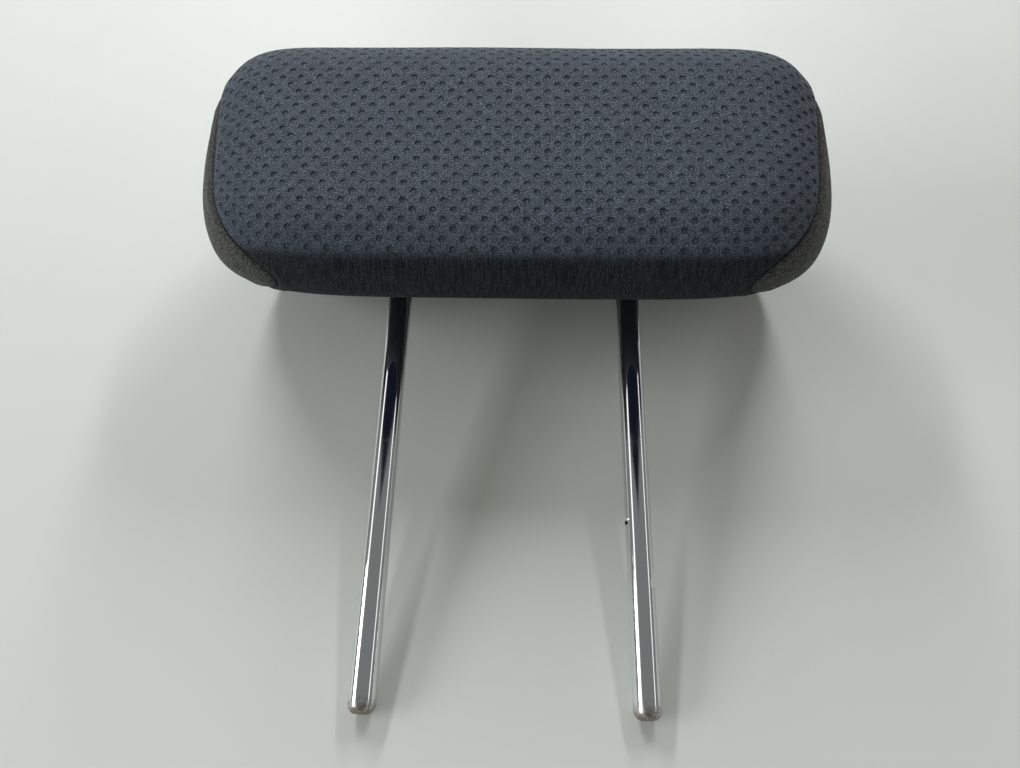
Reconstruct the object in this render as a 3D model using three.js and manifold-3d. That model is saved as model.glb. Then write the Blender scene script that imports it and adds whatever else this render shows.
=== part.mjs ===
// Car headrest: a padded, leather-covered cushion on a two-post steel stay.
// Millimetres, +Z up along the posts, +X to the right, front face towards -Y.
// The origin is midway between the post centres, level with their tips.

import * as THREE from 'three';
import { mergeVertices } from 'three/addons/utils/BufferGeometryUtils.js';
import Module from 'manifold-3d';

const wasm = await Module();
wasm.setup();

// Stay: one bent round bar with two posts and a crossbar
const postDiameter = 10;
const postSpacing = 100;
const postExposed = 178;
const tipHeight = 3.6;
const tipFlatRadius = 2;
const crossbarRise = 72;
const bendRadius = 22;

// Locking notch and stop nick, both on the right post
const notchHeight = 45;
const notchLength = 8;
const notchDepth = 1.8;
const notchFloor = 2;
const nickHeight = 70;
const nickLength = 1.8;
const nickDepth = 1.1;
const nickSlantDeg = 24;

// Cushion, measured from the post plane and from its flat underside
const padHalfWidth = 140;
const padFront = 55;
const padBack = 43;
const padBackLean = 5;
const padHeight = 110;
const noseRadius = 17;
const noseSetback = 21;
const noseDrop = 25.8;
const noseFrontDeg = 203;
const noseBackDeg = 335;
const heelRadius = 64;
const topFrontRadius = 42;
const topRearRadius = 40;
const rearBottomRadius = 22;
const rearBottomRise = 27;
const undersideReach = 12.5;
const undersideFillet = 2.4;
const undersideBackRadius = 8;

// Superellipse exponents of the cushion's sideways rounding, and how soon its side turns elliptic
const edgePower = 1.8;
const sideEasePower = 1.2;
const cornerPowerBottom = 5.9;
const cornerPowerTop = 14;

// Cover: four sewn panels with a pulled-in seam
const coverThickness = 2.5;
const creaseDepth = 2;
const seamInset = 7;
const seamLean = 13;
const seamTuck = 26;
const seamTuckPower = 14;
const rearSeamShare = 0.55;

// Core: two moulded halves clamped round the stay
const coreSideMargin = 14;
const coreBottomMargin = 16;
const coreTopMargin = 8;
const coreHalfDepth = 13;
const coreWall = 2.5;
const coreRibWall = 2.5;
const bossRadius = 4.6;
const bossEdge = 7.4;

// Core screws
const screwRadius = 1.5;
const screwLength = 18;
const screwHeadRadius = 3.2;
const screwHeadHeight = 2;
const screwHeadEdge = 1;
const screwCrownRadius = 2.2;
const screwPointRadius = 0.6;
const screwPointLength = 3;
const driveSlotLength = 3.5;
const driveSlotWidth = 0.8;
const driveSlotDepth = 1.1;

// Post grommets under the cushion
const grommetLip = 4.2;
const grommetFlange = 2.5;
const grommetWall = 1.5;
const grommetSleeve = 9;
const grommetChamfer = 0.8;

// Closure strips: a pair of interlocking hook profiles
const stripHalfLength = 38;
const stripHalfWidth = 5.7;
const stripWall = 1.5;
const stripWebWall = 2;
const stripHookRise = 1.5;

// Clearance between neighbouring pieces
const gap = 0.3;

// Fineness: sides of the posts and of small round pieces, and on the cushion's side outline the
// turn of one step in a fillet and the longest run
const postSides = 24;
const smallSides = 16;
const outlineStepDeg = 22;
const outlineRun = 32;
const weldDistance = 1e-4;

const postRadius = postDiameter / 2;
const postX = postSpacing / 2;
const underside = postExposed;
const crossbarZ = underside + crossbarRise;
const padTop = underside + padHeight;
const rearBottomZ = underside + rearBottomRise;
const seamTopHalfWidth = padHalfWidth - seamInset;

const finishes = {
  chrome: { color: 0xc9ccce, roughness: 0.12, metalness: 1 },
  leather: { color: 0x3a3f47, roughness: 0.62, metalness: 0 },
  sideLeather: { color: 0x3b3c3d, roughness: 0.66, metalness: 0 },
  foam: { color: 0xd9cfa8, roughness: 0.95, metalness: 0 },
  core: { color: 0x26282b, roughness: 0.55, metalness: 0 },
  trim: { color: 0x1c1d1f, roughness: 0.5, metalness: 0 },
  steel: { color: 0x8d9094, roughness: 0.35, metalness: 1 },
};

// Solids

function weld(geometry) {
  const bare = geometry.clone();
  bare.deleteAttribute('normal');
  bare.deleteAttribute('uv');
  const merged = mergeVertices(bare, weldDistance);
  const index = merged.getIndex().array;
  const kept = [];
  for (let t = 0; t < index.length; t += 3) {
    const [a, b, c] = [index[t], index[t + 1], index[t + 2]];
    if (a !== b && b !== c && c !== a) kept.push(a, b, c);
  }
  merged.setIndex(kept);
  return merged;
}

function toSolid(geometry) {
  const welded = weld(geometry);
  return new wasm.Manifold(new wasm.Mesh({
    numProp: 3,
    vertProperties: Float32Array.from(welded.getAttribute('position').array),
    triVerts: Uint32Array.from(welded.getIndex().array),
  }));
}

function toGeometry(solid) {
  const mesh = solid.getMesh();
  const geometry = new THREE.BufferGeometry();
  geometry.setAttribute('position', new THREE.BufferAttribute(Float32Array.from(mesh.vertProperties), 3));
  geometry.setIndex(Array.from(mesh.triVerts));
  return geometry;
}

function boxSolid(low, high) {
  const size = new THREE.Vector3().subVectors(high, low);
  const centre = new THREE.Vector3().addVectors(low, high).multiplyScalar(0.5);
  const geometry = new THREE.BoxGeometry(size.x, size.y, size.z);
  return toSolid(geometry.translate(centre.x, centre.y, centre.z));
}

// An upright cylinder round the post at x
function postBoreSolid(x, radius, low, high) {
  const geometry = new THREE.CylinderGeometry(radius, radius, high - low, postSides);
  geometry.rotateX(Math.PI / 2);
  return toSolid(geometry.translate(x, 0, (low + high) / 2));
}

// A closed surface through rings of points, with a fan at each end
function loftGeometry(rings) {
  const count = rings[0].length;
  const positions = rings.flat().flatMap((point) => point.toArray());
  const index = [];
  for (let r = 0; r + 1 < rings.length; r += 1) {
    for (let i = 0; i < count; i += 1) {
      const next = (i + 1) % count;
      const [a, b] = [r * count + i, r * count + next];
      index.push(a, b, b + count, a, b + count, a + count);
    }
  }
  const ends = [[0, -1], [rings.length - 1, 1]];
  for (const [r, side] of ends) {
    const centre = rings[r].reduce((sum, point) => sum.add(point), new THREE.Vector3()).divideScalar(count);
    const hub = positions.length / 3;
    positions.push(...centre.toArray());
    for (let i = 0; i < count; i += 1) {
      const [a, b] = [r * count + i, r * count + ((i + 1) % count)];
      if (side < 0) index.push(hub, b, a);
      else index.push(hub, a, b);
    }
  }
  const geometry = new THREE.BufferGeometry();
  geometry.setAttribute('position', new THREE.Float32BufferAttribute(positions, 3));
  geometry.setIndex(index);
  return geometry;
}

// Stay

// Stations along the bar, each with a centre, a direction in the XZ plane and a radius. A bar that
// is thicker than the stay, as a clearance, is also sunk past the tips.
function stayStations(radius, sink) {
  const stations = [];
  const add = (x, z, angle, r) => stations.push({ x, z, angle, r });
  const tipSteps = 3;
  for (let i = 0; i <= tipSteps; i += 1) {
    const turn = (i / tipSteps) * (Math.PI / 2);
    const r = tipFlatRadius + (postRadius - tipFlatRadius) * Math.sin(turn) + (radius - postRadius);
    add(-postX, tipHeight * (1 - Math.cos(turn)) - sink, Math.PI / 2, r);
  }
  const bendSteps = 6;
  const bendX = postX - bendRadius;
  const bendZ = crossbarZ - bendRadius;
  for (let i = 0; i <= bendSteps; i += 1) {
    const turn = (i / bendSteps) * (Math.PI / 2);
    const x = -bendX - bendRadius * Math.cos(turn);
    add(x, bendZ + bendRadius * Math.sin(turn), Math.PI / 2 - turn, radius);
  }
  const mirrored = stations.map((s) => ({ x: -s.x, z: s.z, angle: -s.angle, r: s.r })).reverse();
  return stations.concat(mirrored);
}

function stayBarSolid(radius, sink = 0) {
  const rings = stayStations(radius, sink).map(({ x, z, angle, r }) => {
    const ring = [];
    for (let i = 0; i < postSides; i += 1) {
      const turn = (2 * Math.PI * i) / postSides;
      const across = r * Math.cos(turn);
      ring.push(new THREE.Vector3(
        x - across * Math.sin(angle),
        -r * Math.sin(turn),
        z + across * Math.cos(angle),
      ));
    }
    return ring;
  });
  return toSolid(loftGeometry(rings));
}

// Locking notch: a square shoulder and a short floor, then a ramp up to the outer side of the post
function notchSolid() {
  const outer = postX + postRadius;
  const rampTop = notchHeight + notchFloor + 2 * (notchLength - notchFloor);
  const shape = new THREE.Shape();
  shape.moveTo(outer - notchDepth, notchHeight);
  shape.lineTo(outer + notchDepth, notchHeight);
  shape.lineTo(outer + notchDepth, rampTop);
  shape.lineTo(outer - notchDepth, notchHeight + notchFloor);
  const geometry = new THREE.ExtrudeGeometry(shape, { depth: postDiameter, bevelEnabled: false });
  geometry.translate(0, 0, -postRadius);
  return toSolid(geometry.rotateX(Math.PI / 2));
}

// Stop nick: a narrow slanted cut on the inner side of the right post
function nickSolid() {
  const geometry = new THREE.BoxGeometry(2 * nickDepth, postDiameter, nickLength);
  geometry.rotateY(THREE.MathUtils.degToRad(nickSlantDeg));
  return toSolid(geometry.translate(postX - postRadius, -postRadius, nickHeight));
}

function makeStay() {
  return toGeometry(stayBarSolid(postRadius).subtract(notchSolid()).subtract(nickSolid()));
}

// Cushion form

const nose = {
  y: -padFront + noseSetback,
  z: underside - noseDrop + noseRadius,
};

function noseTangent(degrees) {
  const turn = THREE.MathUtils.degToRad(degrees);
  return { y: Math.cos(turn), z: Math.sin(turn) };
}

// Side outline before rounding, in order from the closure line forwards and over the top
function outlineCorners() {
  const front = noseTangent(noseFrontDeg);
  const back = noseTangent(noseBackDeg);
  const middle = noseTangent((noseFrontDeg + noseBackDeg) / 2);
  const halfTurn = THREE.MathUtils.degToRad((noseBackDeg - noseFrontDeg) / 2);
  const reach = noseRadius / Math.cos(halfTurn);
  const rearTop = padBack - padBackLean;
  return [
    { name: 'closure', y: 0, z: underside, radius: 0 },
    {
      y: nose.y + (noseRadius - back.z * (underside - nose.z)) / back.y,
      z: underside,
      radius: undersideFillet,
    },
    { y: nose.y + reach * middle.y, z: nose.z + reach * middle.z, radius: noseRadius },
    {
      y: -padFront,
      z: nose.z + (noseRadius - front.y * (-padFront - nose.y)) / front.z,
      radius: heelRadius,
    },
    { y: -padFront, z: padTop, radius: topFrontRadius },
    { y: rearTop, z: padTop, radius: topRearRadius },
    {
      name: 'rear_seam',
      y: rearTop + padBackLean * rearSeamShare,
      z: padTop - (padTop - rearBottomZ) * rearSeamShare,
      radius: 0,
    },
    { y: padBack, z: rearBottomZ, radius: rearBottomRadius },
    { y: undersideReach, z: underside, radius: undersideBackRadius },
  ];
}

// How far each fillet may grow before it runs into the next one, as a share of its size
function filletShares(sides, cuts) {
  const count = sides.length;
  const roomOn = (i) => {
    const taken = cuts[i] + cuts[(i + 1) % count];
    return taken > 0 ? sides[i].length() / taken : 1;
  };
  return cuts.map((cut, i) => Math.min(1, roomOn((i + count - 1) % count), roomOn(i)));
}

// The rounded outline as points with outward normals, clockwise seen from +X
function roundedOutline(corners) {
  const count = corners.length;
  const sides = corners.map((corner, i) => {
    const next = corners[(i + 1) % count];
    return new THREE.Vector2(next.y - corner.y, next.z - corner.z);
  });
  const turns = sides.map((side, i) => {
    const before = sides[(i + count - 1) % count];
    return Math.atan2(before.cross(side), before.dot(side));
  });
  const cuts = corners.map((corner, i) => corner.radius * Math.tan(Math.abs(turns[i]) / 2));
  const shares = filletShares(sides, cuts);
  const points = [];
  corners.forEach((corner, i) => {
    const along = sides[(i + count - 1) % count].clone().normalize();
    const normal = new THREE.Vector2(-along.y, along.x);
    const cut = cuts[i] * shares[i];
    const bulge = -Math.sign(turns[i]) * corner.radius * shares[i];
    const start = new THREE.Vector2(corner.y, corner.z).addScaledVector(along, -cut);
    const centre = start.clone().addScaledVector(normal, -bulge);
    const steps = cut > 0 ? Math.ceil(Math.abs(turns[i]) / THREE.MathUtils.degToRad(outlineStepDeg)) : 0;
    for (let s = 0; s <= steps; s += 1) {
      const turn = steps > 0 ? (turns[i] * s) / steps : 0;
      const facing = normal.clone().rotateAround(new THREE.Vector2(), turn);
      const point = centre.clone().addScaledVector(facing, bulge);
      points.push({ name: corner.name, y: point.x, z: point.y, ny: facing.x, nz: facing.y });
    }
    const after = (i + 1) % count;
    const run = sides[i].length() - cut - cuts[after] * shares[after];
    const pieces = Math.ceil(run / outlineRun);
    const last = points[points.length - 1];
    const onward = sides[i].clone().normalize();
    for (let s = 1; s < pieces; s += 1) {
      const reach = (run * s) / pieces;
      points.push({ ...last, name: undefined, y: last.y + onward.x * reach, z: last.z + onward.y * reach });
    }
  });
  return points;
}

const outline = roundedOutline(outlineCorners());
const outlineLow = Math.min(...outline.map((point) => point.z));
const padMiddle = { y: (padBack - padFront) / 2, z: (outlineLow + padTop) / 2 };

// Height of an outline point as a share, 0 at the nose and 1 at the top
function heightShare(station) {
  return (station.z - outlineLow) / (padTop - outlineLow);
}

function cornerPower(station) {
  return THREE.MathUtils.lerp(cornerPowerBottom, cornerPowerTop, heightShare(station));
}

// Half-width of the seam between the middle panels and the side panels
function seamHalfWidth(station) {
  const drop = 1 - heightShare(station);
  return seamTopHalfWidth - seamLean * drop - seamTuck * drop ** seamTuckPower;
}

// Scale of the outline at a sideways place, 1 at the middle and 0 at the cushion's side
function scaleAt(station, x) {
  return (1 - Math.min(1, Math.abs(x) / padHalfWidth) ** cornerPower(station)) ** (1 / edgePower);
}

function halfWidthAt(station, scale) {
  return padHalfWidth * (1 - scale ** edgePower) ** (1 / cornerPower(station));
}

// A column is one line across the outline's stations: on a middle panel it holds a share of the
// seam's half-width, and on a side panel a share of the outline's scale at the seam.
function columnPlace(station, column) {
  const seamX = seamHalfWidth(station);
  if (column.middle !== undefined) {
    const x = column.middle * seamX;
    return { x, scale: scaleAt(station, x) };
  }
  const scale = column.side * scaleAt(station, seamX);
  return { x: column.sign * halfWidthAt(station, scale), scale };
}

// The outline's place and facing at a scale: towards the side it eases into an ellipse
function sectionAt(station, scale) {
  const [halfDepth, halfHeight] = [(padFront + padBack) / 2, (padTop - outlineLow) / 2];
  const arm = new THREE.Vector2(station.y - padMiddle.y, station.z - padMiddle.z);
  const reach = 1 / Math.hypot(arm.x / halfDepth, arm.y / halfHeight);
  const round = (1 - scale) ** sideEasePower;
  const facing = new THREE.Vector2(arm.x / halfDepth ** 2, arm.y / halfHeight ** 2).normalize();
  facing.lerp(new THREE.Vector2(station.ny, station.nz), 1 - round).normalize();
  return { arm: arm.multiplyScalar(THREE.MathUtils.lerp(1, reach, round)), facing };
}

// A point on the cushion, sunk below its surface by depth; a seam column is pulled in by the crease
function cushionPoint(station, column, depth) {
  const { x, scale } = columnPlace(station, column);
  const { arm, facing } = sectionAt(station, scale);
  const power = cornerPower(station);
  const sideways = (power * Math.abs(x / padHalfWidth) ** (power - 1)) / padHalfWidth;
  const outwards = (edgePower * scale ** (edgePower - 1)) / facing.dot(arm);
  const normal = new THREE.Vector3(Math.sign(x) * sideways, outwards * facing.x, outwards * facing.y);
  normal.normalize();
  const along = new THREE.Vector3(0, facing.y, -facing.x);
  const across = new THREE.Vector3().crossVectors(along, normal).normalize();
  return new THREE.Vector3(x, padMiddle.y + scale * arm.x, padMiddle.z + scale * arm.y)
    .addScaledVector(normal, -depth - (column.seam ? creaseDepth : 0))
    .addScaledVector(across, column.shift ?? 0)
    .addScaledVector(along, station.shift ?? 0);
}

const middleShares = [-0.97, -0.9, -0.78, -0.55, -0.2, 0.2, 0.55, 0.78, 0.9, 0.97];
const sideShares = [0.93, 0.8, 0.6, 0.35, 0];

function middleColumns(shift) {
  return [
    { middle: -1, seam: true, shift: -shift },
    ...middleShares.map((middle) => ({ middle })),
    { middle: 1, seam: true, shift },
  ];
}

function sideColumns(sign, shift) {
  const columns = [
    { side: 1, sign, seam: true, shift },
    ...sideShares.map((side) => ({ side, sign })),
  ];
  return sign > 0 ? columns : columns.reverse();
}

// Triangles of a grid of points, each cell split from its first corner to the opposite one
function gridIndex(rows, columns, wrap, first, flip) {
  const index = [];
  const lastRow = wrap ? rows : rows - 1;
  for (let i = 0; i < lastRow; i += 1) {
    for (let j = 0; j + 1 < columns; j += 1) {
      const a = first + i * columns + j;
      const d = first + ((i + 1) % rows) * columns + j;
      const [b, c] = [a + 1, d + 1];
      index.push(...(flip ? [a, c, b, a, d, c] : [a, b, c, a, c, d]));
    }
  }
  return index;
}

// Walls between an outer grid and the inner grid that follows it. Walls that face each other
// across a seam are split along the same line, so that they stay parallel.
function borderIndex(rows, columns, wrap) {
  const size = rows * columns;
  const index = [];
  const wall = (a, b) => index.push(a, b, b + size, a, b + size, a + size);
  const facingWall = (a, b) => index.push(a, b, a + size, b, b + size, a + size);
  const lastRow = wrap ? rows : rows - 1;
  for (let i = 0; i < lastRow; i += 1) {
    const [here, next] = [i * columns, ((i + 1) % rows) * columns];
    facingWall(here, next);
    wall(next + columns - 1, here + columns - 1);
  }
  if (!wrap) {
    for (let j = 0; j + 1 < columns; j += 1) {
      facingWall(j + 1, j);
      wall((rows - 1) * columns + j, (rows - 1) * columns + j + 1);
    }
  }
  return index;
}

function gridGeometry(points, index) {
  const geometry = new THREE.BufferGeometry();
  geometry.setAttribute('position', new THREE.Float32BufferAttribute(points.flatMap((p) => p.toArray()), 3));
  geometry.setIndex(index);
  return geometry;
}

// A cover panel: the cushion's surface over some stations and columns, with the cover's thickness
function panelSolid(stations, columns, wrap) {
  const layer = (depth) => stations.flatMap((station) => (
    columns.map((column) => cushionPoint(station, column, depth))
  ));
  const points = [...layer(0), ...layer(coverThickness)];
  const size = stations.length * columns.length;
  return toSolid(gridGeometry(points, [
    ...gridIndex(stations.length, columns.length, wrap, 0, false),
    ...gridIndex(stations.length, columns.length, wrap, size, true),
    ...borderIndex(stations.length, columns.length, wrap),
  ]));
}

// The stations from one named corner to another, with half the gap left free at each end
function stationsBetween(from, to) {
  const start = outline.findIndex((point) => point.name === from);
  const turned = [...outline.slice(start), ...outline.slice(0, start)];
  const run = turned.slice(0, turned.findIndex((point) => point.name === to) + 1);
  return run.map((station, i) => {
    if (i === 0) return { ...station, shift: gap / 2 };
    if (i === run.length - 1) return { ...station, shift: -gap / 2 };
    return station;
  });
}

// Room for the closure strips between the posts
function closureRecess(low, high) {
  const halfLength = stripHalfLength + gap;
  const halfWidth = stripHalfWidth + gap;
  return boxSolid(
    new THREE.Vector3(-halfLength, -halfWidth, low),
    new THREE.Vector3(halfLength, halfWidth, high),
  );
}

const sleeveRadius = postRadius + gap + grommetWall;
const stripHeight = 2 * stripWall + stripHookRise + 2 * gap;

function cutUnderside(solid) {
  const low = underside - noseDrop;
  const high = underside + coreBottomMargin;
  return solid
    .subtract(postBoreSolid(-postX, sleeveRadius + gap, low, high))
    .subtract(postBoreSolid(postX, sleeveRadius + gap, low, high))
    .subtract(closureRecess(low, underside + stripHeight + gap));
}

function makeFrontPanel() {
  const stations = stationsBetween('closure', 'rear_seam');
  return toGeometry(cutUnderside(panelSolid(stations, middleColumns(-gap / 2), false)));
}

function makeRearPanel() {
  const stations = stationsBetween('rear_seam', 'closure');
  return toGeometry(cutUnderside(panelSolid(stations, middleColumns(-gap / 2), false)));
}

function makeSidePanel(sign) {
  return toGeometry(panelSolid(outline, sideColumns(sign, (sign * gap) / 2), true));
}

// Foam and the room in it for the core

const coreLow = new THREE.Vector3(
  -(postX + postRadius + coreSideMargin),
  -coreHalfDepth,
  underside + coreBottomMargin,
);
const coreHigh = new THREE.Vector3(-coreLow.x, coreHalfDepth, crossbarZ + postRadius + coreTopMargin);

function makeFoam() {
  const columns = [...sideColumns(-1, 0), ...middleColumns(0).slice(1, -1), ...sideColumns(1, 0)];
  const depth = coverThickness + gap;
  const points = outline.flatMap((station) => columns.map((column) => cushionPoint(station, column, depth)));
  const block = toSolid(gridGeometry(points, gridIndex(outline.length, columns.length, true, 0, false)));
  const room = new THREE.Vector3(gap, gap, gap);
  const cavity = boxSolid(coreLow.clone().sub(room), coreHigh.clone().add(room));
  return toGeometry(cutUnderside(block.subtract(cavity)));
}

// Core

const bossPlaces = [-1, 1].flatMap((side) => [
  { x: side * (coreHigh.x - bossEdge), z: coreLow.z + bossEdge },
  { x: side * (coreHigh.x - bossEdge), z: coreHigh.z - bossEdge },
]);

// A cylinder along Y
function crossSolid(place, radius, low, high) {
  const geometry = new THREE.CylinderGeometry(radius, radius, high - low, smallSides);
  return toSolid(geometry.translate(place.x, (low + high) / 2, place.z));
}

// One half of the core as a ribbed tray; side is -1 for the front half and 1 for the rear half
function coreHalfSolid(side) {
  const nearY = (side * gap) / 2;
  const farY = side * coreHalfDepth;
  const slab = (lowX, highX, lowZ, highZ, fromY, toY) => boxSolid(
    new THREE.Vector3(lowX, Math.min(fromY, toY), lowZ),
    new THREE.Vector3(highX, Math.max(fromY, toY), highZ),
  );
  const wallY = farY - side * coreWall;
  const rootY = farY - (side * coreWall) / 2;
  const [lowX, highX] = [coreLow.x, coreHigh.x];
  const [lowZ, highZ] = [coreLow.z, coreHigh.z];
  let half = slab(lowX, highX, lowZ, highZ, nearY, farY).subtract(
    slab(lowX + coreWall, highX - coreWall, lowZ + coreWall, highZ - coreWall, 0, wallY),
  );
  const ribHalf = coreRibWall / 2;
  for (const share of [1 / 3, 2 / 3]) {
    const z = lowZ + (highZ - lowZ) * share;
    half = half.add(slab(lowX + ribHalf, highX - ribHalf, z - ribHalf, z + ribHalf, nearY, rootY));
  }
  for (const x of [-postX / 2, 0, postX / 2]) {
    half = half.add(slab(x - ribHalf, x + ribHalf, lowZ + ribHalf, highZ - ribHalf, nearY, rootY));
  }
  for (const place of bossPlaces) {
    const [low, high] = [Math.min(nearY, rootY), Math.max(nearY, rootY)];
    half = half.add(crossSolid(place, bossRadius, low, high));
  }
  return half.subtract(stayBarSolid(postRadius + gap, gap));
}

const screwHeadSeat = coreHalfDepth - screwHeadHeight - gap;

function makeCoreFront() {
  const tip = screwHeadSeat - screwLength - gap;
  const pilots = bossPlaces.map((place) => crossSolid(place, screwRadius + gap, tip, coreHalfDepth));
  return toGeometry(pilots.reduce((half, pilot) => half.subtract(pilot), coreHalfSolid(-1)));
}

function makeCoreRear() {
  const cuts = bossPlaces.flatMap((place) => [
    crossSolid(place, screwRadius + gap, -coreHalfDepth, coreHalfDepth * 2),
    crossSolid(place, screwHeadRadius + gap, screwHeadSeat - gap, coreHalfDepth * 2),
  ]);
  return toGeometry(cuts.reduce((half, cut) => half.subtract(cut), coreHalfSolid(1)));
}

// A screw along Y with its head at the back of the core
function screwGeometry(place) {
  const profile = [
    [0, -screwLength],
    [screwPointRadius, -screwLength],
    [screwRadius, screwPointLength - screwLength],
    [screwRadius, 0],
    [screwHeadRadius, 0],
    [screwHeadRadius, screwHeadEdge],
    [screwCrownRadius, screwHeadHeight],
    [0, screwHeadHeight],
  ].map(([r, y]) => new THREE.Vector2(r, y));
  const slot = (width, length) => boxSolid(
    new THREE.Vector3(-width / 2, screwHeadHeight - driveSlotDepth, -length / 2),
    new THREE.Vector3(width / 2, screwHeadHeight + driveSlotDepth, length / 2),
  );
  const screw = toSolid(new THREE.LatheGeometry(profile, smallSides))
    .subtract(slot(driveSlotWidth, driveSlotLength))
    .subtract(slot(driveSlotLength, driveSlotWidth));
  return toGeometry(screw).translate(place.x, screwHeadSeat, place.z);
}

// Grommets and closure strips

// A grommet round the post at x: a flange under the cushion and a sleeve up into it
function grommetGeometry(x) {
  const bore = postRadius + gap;
  const flange = postRadius + grommetLip;
  const seat = underside - gap;
  const profile = [
    [bore, seat - grommetFlange],
    [flange - grommetChamfer, seat - grommetFlange],
    [flange, seat - grommetFlange + grommetChamfer],
    [flange, seat],
    [sleeveRadius, seat],
    [sleeveRadius, seat + grommetSleeve],
    [bore, seat + grommetSleeve],
    [bore, seat - grommetFlange],
  ].map(([r, z]) => new THREE.Vector2(r, z));
  const geometry = new THREE.LatheGeometry(profile, postSides);
  geometry.rotateX(Math.PI / 2);
  return geometry.translate(x, 0, 0);
}

// One hook profile along X; side is -1 for the front strip, with its hook low, and 1 for the rear
function stripGeometry(side) {
  const top = underside + stripHeight;
  const hookTip = stripWall + gap / 2;
  const level = (rise) => (side < 0 ? underside + rise : top - rise);
  const shape = new THREE.Shape([
    [stripHalfWidth, 0],
    [-hookTip, 0],
    [-hookTip, stripWall + stripHookRise],
    [-gap / 2, stripWall + stripHookRise],
    [-gap / 2, stripWall],
    [stripHalfWidth - stripWebWall, stripWall],
    [stripHalfWidth - stripWebWall, stripHeight],
    [stripHalfWidth, stripHeight],
  ].map(([reach, rise]) => new THREE.Vector2(side * reach, level(rise))));
  const geometry = new THREE.ExtrudeGeometry(shape, { depth: 2 * stripHalfLength, bevelEnabled: false });
  geometry.translate(0, 0, -stripHalfLength);
  geometry.rotateX(Math.PI / 2);
  return geometry.rotateZ(Math.PI / 2);
}

// Assembly

const headrest = new THREE.Group();

function place(name, geometry, finish) {
  geometry.computeVertexNormals();
  const mesh = new THREE.Mesh(geometry, new THREE.MeshStandardMaterial(finishes[finish]));
  mesh.name = name;
  headrest.add(mesh);
}

place('stay', makeStay(), 'chrome');
place('core_front', makeCoreFront(), 'core');
place('core_rear', makeCoreRear(), 'core');
bossPlaces.forEach((boss, i) => place(`core_screw_${i + 1}`, screwGeometry(boss), 'steel'));
place('foam_pad', makeFoam(), 'foam');
place('front_cover_panel', makeFrontPanel(), 'leather');
place('rear_cover_panel', makeRearPanel(), 'sideLeather');
place('left_cover_panel', makeSidePanel(-1), 'sideLeather');
place('right_cover_panel', makeSidePanel(1), 'sideLeather');
place('front_closure_strip', stripGeometry(-1), 'trim');
place('rear_closure_strip', stripGeometry(1), 'trim');
place('left_post_grommet', grommetGeometry(-postX), 'trim');
place('right_post_grommet', grommetGeometry(postX), 'trim');

export default headrest;
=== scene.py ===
"""Looks of a car headrest that lies on its back: leather cushion on a chrome stay, in a plain studio.

Metres, +Z up along the posts, +X to the right, front face towards -Y. The side outline and the sideways
rounding of the cushion are the ones that its solids have, and everything else is placed from them.
"""

import logging
import math
from collections.abc import Callable, Iterator, Sequence
from contextlib import contextmanager
from dataclasses import dataclass, field
from enum import Enum
from typing import NamedTuple

import bmesh
import bpy
import numpy as np
from mathutils import Matrix, Vector


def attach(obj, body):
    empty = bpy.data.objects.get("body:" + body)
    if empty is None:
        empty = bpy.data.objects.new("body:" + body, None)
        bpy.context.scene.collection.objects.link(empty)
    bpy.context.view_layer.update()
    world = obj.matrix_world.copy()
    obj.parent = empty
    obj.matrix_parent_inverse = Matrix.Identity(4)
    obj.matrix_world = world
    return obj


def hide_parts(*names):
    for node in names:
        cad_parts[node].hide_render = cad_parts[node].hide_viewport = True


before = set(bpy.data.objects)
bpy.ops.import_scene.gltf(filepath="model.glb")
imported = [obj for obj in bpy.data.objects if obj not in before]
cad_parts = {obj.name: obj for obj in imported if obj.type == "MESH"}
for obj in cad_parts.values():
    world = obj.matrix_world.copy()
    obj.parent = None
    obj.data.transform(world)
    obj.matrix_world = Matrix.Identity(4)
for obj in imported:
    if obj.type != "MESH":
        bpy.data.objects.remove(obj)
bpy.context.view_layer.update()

BODY = "root"
MM = 0.001

# Lengths in metres: what counts as no length, as one place, as on a cut, and as far from any seam
NO_LENGTH = 1e-12
ONE_PLACE = 1e-6
CUT_SNAP = 1e-7
FAR = 1.0

# Decimals of a metre that tell two vertices apart
PLACE_DIGITS = 6

# Sizes that several pieces share
POST_X = 50 * MM
UNDERSIDE = 178 * MM

logging.basicConfig(level=logging.INFO, format="%(message)s")
log = logging.getLogger("headrest")

Array = np.ndarray


class Side(Enum):
    """The two sides of the headrest, by the sign of X."""

    LEFT = -1
    RIGHT = 1

    @property
    def word(self) -> str:
        """The side's name in small letters, for names of pieces."""
        return self.name.lower()


class Slot(Enum):
    """The material slots of the pieces that are made here."""

    CHROME = "chrome"
    FRONT_LEATHER = "front_leather"
    PLAIN_LEATHER = "plain_leather"
    TRIM_PLASTIC = "trim_plastic"


# Form of the cushion


class Station(NamedTuple):
    """Places on the side outline, as arrays of position and outward facing in the YZ plane."""

    y: Array
    z: Array
    ny: Array
    nz: Array


def unit(vectors: Array) -> Array:
    """Scales vectors to a length of one.

    Args:
        vectors: Array whose last axis holds the components.

    Returns:
        The unit vectors.
    """
    length = np.linalg.norm(vectors, axis=-1, keepdims=True)
    return vectors / np.maximum(length, NO_LENGTH)


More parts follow.
